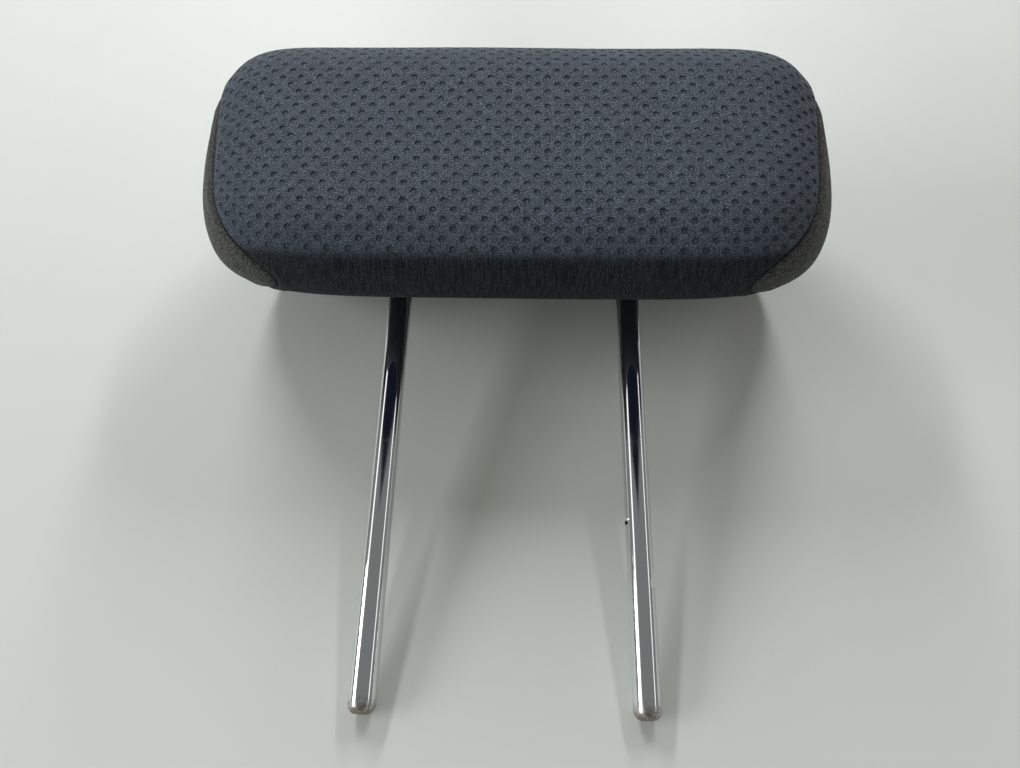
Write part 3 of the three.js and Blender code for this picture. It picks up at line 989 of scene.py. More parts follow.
@dataclass(frozen=True)
class PlasticFinish:
    """Moulded plastic with a fine spark-eroded grain."""

    name: str
    colour: Colour
    roughness: float = 0.5
    grain: Texture = Texture(2400.0)
    grain_span: Span = (0.3, 0.7)
    grain_roughness: Span = (-0.06, 0.08)
    grain_depth: float = 0.05 * MM
    grain_strength: float = 0.35
    haze: Texture = Texture(45.0, 3.0)
    haze_gain: float = 1.35
    haze_lift: float = 0.01

    def material(self) -> bpy.types.Material:
        """Builds the material.

        Returns:
            The material.
        """
        material, graph, shader = new_material(self.name)
        place = graph.object_place()
        grain = graph.noise(place, self.grain)
        haze = graph.noise(place, self.haze)
        light = tuple(min(1.0, c * self.haze_gain + self.haze_lift) for c in self.colour)
        colour = graph.blend(haze, rgba(self.colour), rgba(light))
        low, high = (self.roughness + change for change in self.grain_roughness)
        rough = graph.ramp(grain, *self.grain_span, low, high)
        graph.dress(shader, colour, rough, grain, self.grain_strength, self.grain_depth)
        return material


@dataclass(frozen=True)
class FoamFinish:
    """Moulded polyurethane foam with an open-celled skin."""

    name: str = "moulded_foam"
    colour: Colour = (0.62, 0.55, 0.36)
    pore_colour: Colour = (0.40, 0.34, 0.20)
    pore_scale: float = 1400.0
    pore_span: Span = (0.1, 0.5)
    pore_depth: float = 0.2 * MM
    pore_strength: float = 0.6
    rough_span: Span = (0.0, 0.6)
    roughness: Span = (0.98, 0.85)

    def material(self) -> bpy.types.Material:
        """Builds the material.

        Returns:
            The material.
        """
        material, graph, shader = new_material(self.name)
        values = {"Vector": graph.object_place(), "Scale": self.pore_scale}
        pores = graph.add("ShaderNodeTexVoronoi", values).outputs["Distance"]
        pit = graph.ramp(pores, *self.pore_span)
        colour = graph.blend(pit, rgba(self.pore_colour), rgba(self.colour))
        rough = graph.ramp(pores, *self.rough_span, *self.roughness)
        graph.dress(shader, colour, rough, pit, self.pore_strength, self.pore_depth)
        return material


@dataclass(frozen=True)
class ScrewFinish:
    """Zinc-plated screw steel."""

    name: str = "plated_steel"
    colour: Colour = (0.48, 0.48, 0.46)
    haze: Texture = Texture(600.0, 4.0, 0.65)
    haze_span: Span = (0.3, 0.7)
    haze_tone: float = 0.7
    roughness: Span = (0.28, 0.48)

    def material(self) -> bpy.types.Material:
        """Builds the material.

        Returns:
            The material.
        """
        material, graph, shader = new_material(self.name)
        haze = graph.noise(graph.object_place(), self.haze)
        darker = tuple(c * self.haze_tone for c in self.colour)
        graph.put(shader.inputs["Base Color"], graph.blend(haze, rgba(darker), rgba(self.colour)))
        graph.put(shader.inputs["Roughness"], graph.ramp(haze, *self.haze_span, *self.roughness))
        shader.inputs["Metallic"].default_value = 1.0
        return material


# In both leathers the crease colour serves the grain and the painted shade in the seams; the front's dimple
# and roll colours are painted shade.
FRONT_LEATHER = LeatherFinish(
    "dimpled_leather", (0.084, 0.113, 0.158), (0.018, 0.024, 0.034), dot_colour=(0.020, 0.026, 0.036),
    roll_colour=(0.004, 0.004, 0.006))
PLAIN_LEATHER = LeatherFinish(
    "plain_leather", (0.108, 0.112, 0.109), (0.008, 0.009, 0.010),
    pebble_scale=560.0, patchiness=1.1, bump=1.3 * MM)
CORE_PLASTIC = PlasticFinish("core_plastic", (0.022, 0.023, 0.026), 0.5)
TRIM_PLASTIC = PlasticFinish("trim_plastic", (0.014, 0.015, 0.016), 0.42)


# Cushion


class Piece(NamedTuple):
    """A finished piece: its object, the nodes it stands for and its slot."""

    thing: bpy.types.Object
    nodes: tuple[str, ...]
    slot: Slot


@dataclass(frozen=True)
class DimpleTile:
    """One cell of the debossed leather: a square on its corner, with a round flat-bottomed dimple."""

    pitch: float = 8 * MM
    rim_radius: float = 1.6 * MM
    radius: float = 1.36 * MM
    foot_radius: float = 1.1 * MM
    floor_radius: float = 0.84 * MM
    depth: float = 0.4 * MM
    rim_drop: float = 0.04 * MM
    # Painted shade on each ring from the border in: none on the border, rim and floor, most on the wall and
    # foot.
    shades: tuple[float, ...] = (0.0, 0.0, 0.6, 0.92, 0.0)
    sides: int = 12

    @property
    def per_edge(self) -> int:
        """Number of steps along each of the cell's four edges."""
        return self.sides // 4

    def border(self) -> list[tuple[float, float]]:
        """Points round the cell: its corners, and others evenly between them.

        Returns:
            X and Y of each.
        """
        half = self.pitch / 2
        corners = [(half, 0.0), (0.0, half), (-half, 0.0), (0.0, -half)]
        points = []
        for i, (x, y) in enumerate(corners):
            next_x, next_y = corners[(i + 1) % len(corners)]
            for k in range(self.per_edge):
                share = k / self.per_edge
                points.append((x + (next_x - x) * share, y + (next_y - y) * share))
        return points

    def dimpled(self) -> bpy.types.Object:
        """The cell with its dimple.

        Returns:
            An object with the mesh and its dimple mask of painted shade.
        """
        rings = [[(x, y, 0.0) for x, y in self.border()]]
        profile = ((self.rim_radius, 0.0), (self.radius, -self.rim_drop), (self.foot_radius, -self.depth),
                   (self.floor_radius, -self.depth))
        for radius, rise in profile:
            turns = [2 * math.pi * k / self.sides for k in range(self.sides)]
            rings.append([(radius * math.cos(a), radius * math.sin(a), rise) for a in turns])
        points = [point for ring in rings for point in ring]
        faces = grid_faces(len(rings), self.sides, wrap_columns=True)
        faces.append(tuple(range(len(points) - self.sides, len(points))))
        mesh = bpy.data.meshes.new("dimpled_cell")
        mesh.from_pydata(points, [], faces)
        add_mask(mesh, "dimple", np.repeat(self.shades, self.sides))
        return new_piece("dimpled_cell", mesh)

    def plain(self) -> bpy.types.Object:
        """The cell without a dimple, for the plain part of the same leather.

        Returns:
            An object with the mesh and an empty dimple mask, with no painted shade.
        """
        per_edge, half = self.per_edge, self.pitch / 2
        steps = [k / per_edge for k in range(per_edge + 1)]
        points = [((a - b) * half, (a + b - 1) * half, 0.0) for b in steps for a in steps]
        mesh = bpy.data.meshes.new("plain_cell")
        mesh.from_pydata(points, [], grid_faces(per_edge + 1, per_edge + 1))
        add_mask(mesh, "dimple", np.zeros(len(points)))
        return new_piece("plain_cell", mesh)


class DimpleSheet:
    """Geometry Nodes tree that lays cells in offset rows on a flat sheet of leather."""

    NAME = "dimple_sheet"
    SEW_DISTANCE = 0.05 * MM
    SOCKETS = (
        ("Dimpled Cell", "NodeSocketObject", None),
        ("Plain Cell", "NodeSocketObject", None),
        ("Leather", "NodeSocketMaterial", None),
        ("Pitch", "NodeSocketFloat", 8 * MM),
        ("Columns", "NodeSocketInt", 40),
        ("Rows", "NodeSocketInt", 40),
        ("First Row", "NodeSocketFloat", 0.0),
        ("Dimples From", "NodeSocketFloat", 0.1),
        ("Shallowest", "NodeSocketFloat", 0.82),
        ("Deepest", "NodeSocketFloat", 1.12),
        ("Seed", "NodeSocketInt", 5),
    )

    @classmethod
    def tree(cls) -> bpy.types.NodeTree:
        """Builds the tree.

        Returns:
            The node tree.
        """
        tree = bpy.data.node_groups.new(cls.NAME, "GeometryNodeTree")
        tree.interface.new_socket("Geometry", in_out="INPUT", socket_type="NodeSocketGeometry")
        for label, kind, value in cls.SOCKETS:
            socket = tree.interface.new_socket(label, in_out="INPUT", socket_type=kind)
            if value is not None:
                socket.default_value = value
        tree.interface.new_socket("Geometry", in_out="OUTPUT", socket_type="NodeSocketGeometry")
        graph = Graph(tree)
        given, result = graph.add("NodeGroupInput"), graph.add("NodeGroupOutput")
        pitch = given.outputs["Pitch"]
        half = graph.math("MULTIPLY", pitch, 0.5)
        wide = graph.math("MULTIPLY", pitch, graph.math("SUBTRACT", given.outputs["Columns"], 1.0))
        tall = graph.math("MULTIPLY", pitch, graph.math("SUBTRACT", given.outputs["Rows"], 1.0))
        lattice = graph.add("GeometryNodeMeshGrid", {
            "Size X": wide, "Size Y": tall,
            "Vertices X": given.outputs["Columns"], "Vertices Y": given.outputs["Rows"]})
        up = graph.math("ADD", graph.math("MULTIPLY", tall, 0.5), given.outputs["First Row"])
        first = graph.add("GeometryNodeTransform", {"Geometry": lattice.outputs["Mesh"]})
        graph.put(first.inputs["Translation"], graph.add("ShaderNodeCombineXYZ", {1: up}).outputs[0])
        second = graph.add("GeometryNodeTransform", {"Geometry": first.outputs[0]})
        offset = graph.add("ShaderNodeCombineXYZ", {0: half, 1: half}).outputs[0]
        graph.put(second.inputs["Translation"], offset)
        both = graph.add("GeometryNodeJoinGeometry")
        graph.put(both.inputs[0], first.outputs[0])
        graph.put(both.inputs[0], second.outputs[0])
        place = graph.add("GeometryNodeInputPosition").outputs[0]
        row = graph.add("ShaderNodeSeparateXYZ", {0: place}).outputs["Y"]
        is_dimpled = graph.add("FunctionNodeCompare", {0: row, 1: given.outputs["Dimples From"]},
                               data_type="FLOAT", operation="GREATER_EQUAL").outputs[0]
        is_plain = graph.add("FunctionNodeBooleanMath", {0: is_dimpled}, operation="NOT").outputs[0]
        depth = graph.add("FunctionNodeRandomValue", {
            2: given.outputs["Shallowest"], 3: given.outputs["Deepest"], "Seed": given.outputs["Seed"]},
            data_type="FLOAT").outputs[1]
        stretch = graph.add("ShaderNodeCombineXYZ", {0: 1.0, 1: 1.0, 2: depth}).outputs[0]
        parts = graph.add("GeometryNodeJoinGeometry")
        for label, chosen in (("Dimpled Cell", is_dimpled), ("Plain Cell", is_plain)):
            cell = graph.add("GeometryNodeObjectInfo", {"Object": given.outputs[label]})
            copies = graph.add("GeometryNodeInstanceOnPoints", {
                "Points": both.outputs[0], "Selection": chosen,
                "Instance": cell.outputs["Geometry"], "Scale": stretch})
            graph.put(parts.inputs[0], copies.outputs[0])
        whole = graph.add("GeometryNodeRealizeInstances", {0: parts.outputs[0]})
        sewn = graph.add("GeometryNodeMergeByDistance", {
            "Geometry": whole.outputs[0], "Distance": cls.SEW_DISTANCE})
        dressed = graph.add("GeometryNodeSetMaterial", {
            "Geometry": sewn.outputs[0], "Material": given.outputs["Leather"]})
        graph.put(result.inputs[0], dressed.outputs[0])
        return tree

    @classmethod
    def flat_mesh(cls, values: dict[str, object]) -> bpy.types.Mesh:
        """Runs the tree.

        Args:
            values: Inputs by name.

        Returns:
            The flat sheet as a mesh.
        """
        tree = cls.tree()
        carrier = new_piece("leather_sheet", bpy.data.meshes.new("leather_sheet"))
        step = carrier.modifiers.new(cls.NAME, "NODES")
        step.node_group = tree
        for item in tree.interface.items_tree:
            if item.item_type == "SOCKET" and item.in_out == "INPUT" and item.name in values:
                step[item.identifier] = values[item.name]
        carrier.update_tag()
        bpy.context.view_layer.update()
        depsgraph = bpy.context.evaluated_depsgraph_get()
        mesh = bpy.data.meshes.new_from_object(carrier.evaluated_get(depsgraph), depsgraph=depsgraph)
        carrier.modifiers.remove(step)
        bpy.data.objects.remove(carrier)
        return mesh


SEAM_PHASE = {Side.LEFT: 1, Side.RIGHT: 2}


@dataclass
class Cover:
    """The four sewn leather panels of the cushion."""

    SPARE_COLUMNS = 4
    SPARE_ROWS = 3

    surface: CushionSurface
    relief: SeamRelief = field(default_factory=SeamRelief)
    tile: DimpleTile = field(default_factory=DimpleTile)
    dimples_from: float = 62.7 * MM
    pattern_shift: Span = (1.5 * MM, 2.4 * MM)
    # Along the outline, where the painted shade on the lower roll is full and where it ends.
    roll_shade: Span = (61.5 * MM, 67 * MM)
    grid_step: float = 1.6 * MM
    sleeve_radius: float = 7.1 * MM
    post_x: float = POST_X
    strip_half_length: float = 38.3 * MM
    strip_half_width: float = 6.0 * MM
    side_columns: int = 20
    middle_columns: int = 66
    edge_distances: tuple[float, ...] = (0.0, 0.12, 0.36, 0.75, 1.3, 2.0, 2.9, 4.0, 5.4, 7.2, 9.4, 12.0)
    corner_from: float = 0.72
    corner_span: float = 0.28
    dimple_fade_rolls: float = 1.6
    dimple_least: float = 0.2
    hem_from_depths: float = 1.2
    pole_ease: float = 8 * MM

    @property
    def edge(self) -> Array:
        """Distances from a seam of the rows of points beside it."""
        return np.array(self.edge_distances) * MM

    def corner_share(self, v: Array) -> Array:
        """How tightly the seam turns at a place along it, which is most at the lower roll.

        Args:
            v: Places along the seam.

        Returns:
            The shares, 0 to 1.
        """
        station = self.surface.station(v)
        low = np.clip((self.surface.drop(station) - self.corner_from) / self.corner_span, 0, 1)
        return low * low * (3 - 2 * low)

    def relief_rise(self, v: Array, t: Array, points: Array, phase: int) -> Array:
        """Height of the leather over the plain form.

        Args:
            v: Places along the seam.
            t: Distances from the seam.
            points: The same places on the plain form.
            phase: Number that tells one seam's puckers from another's.

        Returns:
            The heights.
        """
        relief = self.relief
        fade = np.clip(t / (relief.sway_rolls * relief.roll), 0, 1)
        return (relief.rise(t) + relief.puckers(v, t, self.corner_share(v), phase)
                + relief.unevenness(points) * fade)

    def middle_rise(self, u: Array, v: Array, t: Array, end: Array) -> Array:
        """Height of the leather over the plain form on a panel between the two side seams.

        Args:
            u: Places across, negative to the left.
            v: Places along the seams.
            t: Distances from the nearer side seam.
            end: Distances from the rear seam.

        Returns:
            The heights.
        """
        plain = self.surface.middle_point(u, v, np.zeros_like(u))
        left, right = (self.relief_rise(v, t, plain, SEAM_PHASE[side]) for side in Side)
        rise = np.where(u < 0, left, right)
        return rise + self.relief.rise(end) * np.clip(1 + rise / self.relief.depth, 0, 1)

    def flat_front(self) -> bpy.types.Mesh:
        """The front leather as a flat sheet.

        Returns:
            The mesh, with the lengths across and along and the height as coordinates.
        """
        tile, surface = self.tile, self.surface
        cells = [tile.dimpled(), tile.plain()]
        across = 2 * math.ceil(surface.middle_reach.max() / tile.pitch) + self.SPARE_COLUMNS
        along = math.ceil(surface.rear_seam / tile.pitch) + self.SPARE_ROWS
        mesh = DimpleSheet.flat_mesh({
            "Dimpled Cell": cells[0], "Plain Cell": cells[1], "Leather": FRONT_LEATHER.material(),
            "Pitch": tile.pitch, "Columns": across + 1, "Rows": along, "First Row": -tile.pitch,
            "Dimples From": self.dimples_from - self.pattern_shift[1],
        })
        for cell in cells:
            bpy.data.objects.remove(cell)
        points = vertex_array(mesh)
        points[:, :2] += self.pattern_shift
        set_vertices(mesh, points)
        return mesh

    def front_panel(self) -> Piece:
        """The dimpled front panel, from the closure line round the roll, up the front and over the top.

        Returns:
            The piece.
        """
        surface, relief = self.surface, self.relief
        mesh = self.flat_front()
        with edited(mesh) as shape:
            dimple = shape.verts.layers.float["dimple"]
            self.trim_along(shape, 0.0, surface.rear_seam)
            for side in Side:
                self.trim_side(shape, side)
            self.open_underside(shape)
            bmesh.ops.delete(shape, geom=[v for v in shape.verts if not v.link_faces], context="VERTS")
            flat = np.array([vertex.co for vertex in shape.verts])
            mask = np.array([vertex[dimple] for vertex in shape.verts])
        u, v, rise = flat.T
        t = np.maximum(0, surface.reach(v, False) - np.abs(u))
        end = np.maximum(0, surface.rear_seam - v)
        lift = self.middle_rise(u, v, t, end)
        fade = self.dimple_fade_rolls * relief.roll
        shallow = np.clip(t / fade, 0, 1) * np.clip(end / fade, 0, 1)
        is_hem = rise <= -self.tile.depth * self.hem_from_depths
        rise = np.where(is_hem, rise, rise * np.maximum(shallow, self.dimple_least))
        set_vertices(mesh, surface.middle_point(u, v, lift + rise))
        # Masks of painted shade: on the dimple walls, in the seam creases and on the lower roll.
        low, high = self.roll_shade
        add_mask(mesh, "dimple", mask * shallow)
        add_mask(mesh, "seam_shade", relief.shade(np.minimum(t, end)))
        add_mask(mesh, "roll_shade", np.clip((high - v) / (high - low), 0, 1))
        smooth(mesh)
        return Piece(new_piece("front_leather_panel", mesh), ("front_cover_panel",), Slot.FRONT_LEATHER)

    def trim_along(self, shape: bmesh.types.BMesh, start: float, end: float) -> None:
        """Cuts the flat sheet to its length and rolls its far end.

        Args:
            shape: The flat sheet.
            start: Where it starts along the outline.
            end: Where its seam lies.
        """
        roll = self.relief.roll
        for place, heading in ((start, -1.0), (end - roll, 1.0)):
            everything = [*shape.verts, *shape.edges, *shape.faces]
            bmesh.ops.bisect_plane(shape, geom=everything, dist=CUT_SNAP, plane_co=(0, place, 0),
                                   plane_no=(0, heading, 0), clear_outer=True)
        border = [e for e in shape.edges if all(abs(v.co.y - end + roll) < ONE_PLACE for v in e.verts)]
        self.grow(shape, border, 1, lambda vertex, place: end - roll * (1 - place))

    def trim_side(self, shape: bmesh.types.BMesh, side: Side) -> None:
        """Cuts the flat sheet beside one seam, and rolls its edge into the seam.

        Args:
            shape: The flat sheet.
            side: Which side.
        """
        roll, sign = self.relief.roll, side.value
        places = np.array([vertex.co.y for vertex in shape.verts])
        for vertex, reach in zip(shape.verts, self.surface.reach(places, False)):
            vertex.co.x = sign * vertex.co.x - reach
        everything = [*shape.verts, *shape.edges, *shape.faces]
        bmesh.ops.bisect_plane(shape, geom=everything, dist=CUT_SNAP, plane_co=(-roll, 0, 0),
                               plane_no=(1, 0, 0), clear_outer=True)
        border = [e for e in shape.edges if all(abs(v.co.x + roll) < ONE_PLACE for v in e.verts)]
        self.grow(shape, border, 0, lambda vertex, place: -roll * (1 - place))
        places = np.array([vertex.co.y for vertex in shape.verts])
        for vertex, reach in zip(shape.verts, self.surface.reach(places, False)):
            vertex.co.x = sign * (vertex.co.x + reach)

    def grow(self, shape: bmesh.types.BMesh, border: list[bmesh.types.BMEdge], axis: int,
             place_at: Callable[[bmesh.types.BMVert, float], float]) -> None:
        """Adds rows of faces past a border up to the seam, and a hem turned inwards.

        Args:
            shape: The flat sheet.
            border: Edges of the border.
            axis: Coordinate that runs towards the seam.
            place_at: Gives that coordinate for a share of the way to the seam.
        """
        for share in [1 - s for s in self.relief.columns[::-1]]:
            border = self.extrude(shape, border, axis, place_at, share, 0.0)
        for depth in self.relief.hem_steps:
            border = self.extrude(shape, border, axis, place_at, 1.0, -depth * self.relief.hem)

    @staticmethod
    def extrude(shape: bmesh.types.BMesh, border: list[bmesh.types.BMEdge], axis: int,
                place_at: Callable[[bmesh.types.BMVert, float], float], share: float,
                rise: float) -> list[bmesh.types.BMEdge]:
        """Adds one row of faces.

        Args:
            shape: The flat sheet.
            border: Edges to start from.
            axis: Coordinate that runs towards the seam.
            place_at: Gives that coordinate for a share of the way to the seam.
            share: Share of the way to the seam.
            rise: Height of the new vertices.

        Returns:
            The new border.
        """
        grown = bmesh.ops.extrude_edge_only(shape, edges=border)["geom"]
        for vertex in (item for item in grown if isinstance(item, bmesh.types.BMVert)):
            vertex.co[axis] = place_at(vertex, share)
            vertex.co.z = rise
        return [item for item in grown if isinstance(item, bmesh.types.BMEdge)]

    def open_underside(self, shape: bmesh.types.BMesh) -> None:
        """Opens a flat sheet that starts at the closure line, for the posts and the closure strips.

        Args:
            shape: The sheet, with across and along as its first two coordinates.
        """
        radius = self.sleeve_radius

        def in_post(vertex: bmesh.types.BMVert) -> bool:
            """Whether a vertex lies in a post's opening."""
            return math.hypot(abs(vertex.co.x) - self.post_x, vertex.co.y) < radius

        def in_strip(vertex: bmesh.types.BMVert) -> bool:
            """Whether a vertex lies in the strips' opening."""
            return abs(vertex.co.x) < self.strip_half_length and vertex.co.y < self.strip_half_width

        near = [f for f in shape.faces if f.calc_center_median().y < 2 * radius]
        for inside in (in_post, in_strip):
            lost = [f for f in near if f.is_valid and all(inside(v) for v in f.verts)]
            bmesh.ops.delete(shape, geom=lost, context="FACES")
            near = [f for f in near if f.is_valid]
        for vertex in {v for f in near for v in f.verts}:
            if in_post(vertex):
                arm = Vector((abs(vertex.co.x) - self.post_x, vertex.co.y))
                arm = arm.normalized() * radius if arm.length > ONE_PLACE else Vector((radius, 0.0))
                vertex.co.x = math.copysign(self.post_x + arm.x, vertex.co.x)
                vertex.co.y = arm.y
            elif in_strip(vertex):
                if self.strip_half_length - abs(vertex.co.x) < self.strip_half_width - vertex.co.y:
                    vertex.co.x = math.copysign(self.strip_half_length, vertex.co.x)
                else:
                    vertex.co.y = self.strip_half_width

    def rear_panel(self) -> Piece:
        """The plain rear panel, from the rear seam down to the closure line.

        Returns:
            The piece.
        """
        surface, relief, edge = self.surface, self.relief, self.edge
        run = surface.length - surface.rear_seam
        rows = np.concatenate([edge, np.linspace(edge[-1], run, int(run / self.grid_step))[1:]])
        v_rows = surface.rear_seam + rows
        reach = surface.reach(v_rows, False)[:, None]
        inner = edge[-1] + (reach - edge[-1]) * np.linspace(0, 1, self.middle_columns)[1:]
        t = np.concatenate([np.broadcast_to(edge, (len(rows), len(edge))), inner], 1)
        u = reach - t
        u = np.concatenate([-u, u[:, -2::-1]], 1)
        v = np.broadcast_to(v_rows[:, None], u.shape)
        start = np.broadcast_to(rows[:, None], u.shape)
        lift = self.middle_rise(u, v, np.abs(reach - np.abs(u)), start)
        u, v, lift = self.with_hem(u, v, lift)
        mesh = grid_mesh("rear_leather_panel", np.stack([u, surface.length - v, lift], -1))
        with edited(mesh) as shape:
            self.open_underside(shape)
            flat = np.array([vertex.co for vertex in shape.verts])
        u, v, lift = flat[:, 0], surface.length - flat[:, 1], flat[:, 2]
        set_vertices(mesh, surface.middle_point(u, v, lift))
        # Painted shade in the seam creases.
        seam = np.minimum(surface.reach(v, False) - np.abs(u), np.maximum(v - surface.rear_seam, 0))
        add_mask(mesh, "seam_shade", relief.shade(np.maximum(seam, 0)))
        mesh.materials.append(PLAIN_LEATHER.material())
        smooth(mesh)
        return Piece(new_piece("rear_leather_panel", mesh), ("rear_cover_panel",), Slot.PLAIN_LEATHER)

    def with_hem(self, u: Array, v: Array, lift: Array) -> tuple[Array, Array, Array]:
        """Adds a hem turned inwards along the first row and the outer columns of a grid.

        Args:
            u: Places across.
            v: Places along.
            lift: Heights.

        Returns:
            The three grids with their hem.
        """
        u, v, lift = (np.pad(grid, ((1, 0), (1, 1)), "edge") for grid in (u, v, lift))
        lift[:, [0, -1]] -= self.relief.hem
        lift[0] -= self.relief.hem
        return u, v, lift

    def side_panel(self, side: Side) -> Piece:
        """A plain side panel, from the seam to the pole of the cushion's side.

        Args:
            side: Which side.

        Returns:
            The piece.
        """
        surface, edge = self.surface, self.edge
        name = f"{side.word}_leather_panel"
        rows = int(surface.length / self.grid_step)
        v_rows = np.linspace(0, surface.length, rows, endpoint=False)
        reach = surface.reach(v_rows, True)[:, None]
        inner = edge[-1] + (reach - edge[-1]) * np.linspace(0, 1, self.side_columns + 1)[1:]
        t = np.concatenate([np.broadcast_to(edge, (rows, len(edge))), inner], 1)
        v = np.broadcast_to(v_rows[:, None], t.shape)
        plain = surface.side_point(t, v, np.zeros_like(t), side)
        lift = self.relief_rise(v, t, plain, SEAM_PHASE[side])
        lift = lift * np.clip((reach - t) / self.pole_ease, 0, 1)
        points = surface.side_point(t, v, lift, side)
        hem = surface.side_point(t[:, :1], v[:, :1], lift[:, :1] - self.relief.hem, side)
        points = np.concatenate([hem, points], 1)
        mesh = grid_mesh(name, points, wrap_rows=True, flip=side is Side.LEFT)
        mesh.materials.append(PLAIN_LEATHER.material())
        # Painted shade in the seam creases.
        seam = self.seam_distance(vertex_array(mesh), points, t)
        add_mask(mesh, "seam_shade", self.relief.shade(seam))
        smooth(mesh)
        return Piece(new_piece(name, mesh), (f"{side.word}_cover_panel",), Slot.PLAIN_LEATHER)

    @staticmethod
    def seam_distance(vertices: Array, points: Array, t: Array) -> Array:
        """Distance from the seam for each vertex of a merged side panel.

        Args:
            vertices: Vertices of the mesh.
            points: The grid that it was made from, with its hem column.
            t: Distances of the grid without the hem.

        Returns:
            The distances.
        """
        spread = np.concatenate([t[:, :1], t], 1).reshape(-1)
        flat = np.round(points.reshape(-1, 3), PLACE_DIGITS).tolist()
        found = {tuple(place): distance for place, distance in zip(flat, spread)}
        merged = np.round(vertices, PLACE_DIGITS).tolist()
        return np.array([found.get(tuple(place), FAR) for place in merged])


# Stay


@dataclass
class Stay:
    """One chrome-plated bar bent to a U: two posts and the crossbar in the cushion."""

    radius: float = 5 * MM
    post_x: float = POST_X
    crossbar: float = 250 * MM
    bend: float = 22 * MM
    tip_height: float = 3.6 * MM
    tip_flat: float = 2 * MM
    sides: int = 96
    notch_height: float = 45 * MM
    notch_floor: float = 2 * MM
    notch_depth: float = 1.8 * MM
    notch_slope: float = 0.3
    notch_length: float = 20 * MM
    nick_height: float = 70 * MM
    nick_length: float = 1.8 * MM
    nick_depth: float = 1.1 * MM
    nick_slant_deg: float = 24
    sharp_deg: float = 35
    tip_steps: int = 12
    bend_steps: int = 18
    fine_zone: Span = (40 * MM, 76 * MM)
    fine_step: float = 0.3 * MM
    coarse_heights: tuple[float, ...] = (
        10 * MM, 20 * MM, 30 * MM, 90 * MM, 110 * MM, 130 * MM, 150 * MM, 170 * MM, 190 * MM, 210 * MM)

    def stations(self) -> list[tuple[float, float, float, float]]:
        """Places along the bar.

        Returns:
            X, Z, direction in the XZ plane and radius of each, from the left tip to the right tip.
        """
        rows = []
        for k in range(self.tip_steps + 1):
            turn = k / self.tip_steps * math.pi / 2
            radius = self.tip_flat + (self.radius - self.tip_flat) * math.sin(turn)
            rows.append((-self.post_x, self.tip_height * (1 - math.cos(turn)), math.pi / 2, radius))
        fine = np.arange(*self.fine_zone, self.fine_step)
        for z in sorted([*fine, *self.coarse_heights]):
            rows.append((-self.post_x, float(z), math.pi / 2, self.radius))
        for k in range(self.bend_steps + 1):
            turn = k / self.bend_steps * math.pi / 2
            x = -(self.post_x - self.bend) - self.bend * math.cos(turn)
            z = self.crossbar - self.bend + self.bend * math.sin(turn)
            rows.append((x, z, math.pi / 2 - turn, self.radius))
        mirrored = [(-x, z, -angle, radius) for x, z, angle, radius in reversed(rows)]
        return rows + mirrored

    def carve(self, points: Array) -> Array:
        """Cuts the locking notch and the stop nick into the right post.

        Args:
            points: Points on the bar.

        Returns:
            The points, moved where they lay in a cut.
        """
        x, y, z = points.T
        above = z - self.notch_height
        ramp = self.notch_slope * np.maximum(0, above - self.notch_floor)
        floor = self.post_x + self.radius - self.notch_depth + ramp
        x = np.where((above > 0) & (above < self.notch_length) & (x > floor), floor, x)
        turn = math.radians(self.nick_slant_deg)
        lx, lz = x - self.post_x + self.radius, z - self.nick_height
        along = lx * math.cos(turn) - lz * math.sin(turn)
        across = lx * math.sin(turn) + lz * math.cos(turn)
        cut = (np.abs(across) < self.nick_length / 2) & (along < self.nick_depth) & (y < 0) & (x > 0)
        x = np.where(cut, x + (self.nick_depth - along) * math.cos(turn), x)
        return np.stack([x, y, z], 1)

    def build(self) -> Piece:
        """Builds the bar as one swept mesh with closed ends.

        Returns:
            The piece.
        """
        turns = np.linspace(0, 2 * np.pi, self.sides, endpoint=False)
        rings = []
        for x, z, angle, radius in self.stations():
            across, depth = radius * np.cos(turns), -radius * np.sin(turns)
            ring = [x - across * math.sin(angle), depth, z + across * math.cos(angle)]
            rings.append(np.stack(ring, 1))
        mesh = grid_mesh("chrome_stay", np.array(rings), wrap_columns=True)
        set_vertices(mesh, self.carve(vertex_array(mesh)))
        with edited(mesh) as shape:
            bmesh.ops.holes_fill(shape, edges=[e for e in shape.edges if e.is_boundary], sides=0)
            bmesh.ops.recalc_face_normals(shape, faces=shape.faces)
        mesh.materials.append(ChromeFinish().material())
        smooth(mesh, self.sharp_deg)
        return Piece(new_piece("chrome_stay", mesh), ("stay",), Slot.CHROME)


# Trim under the cushion


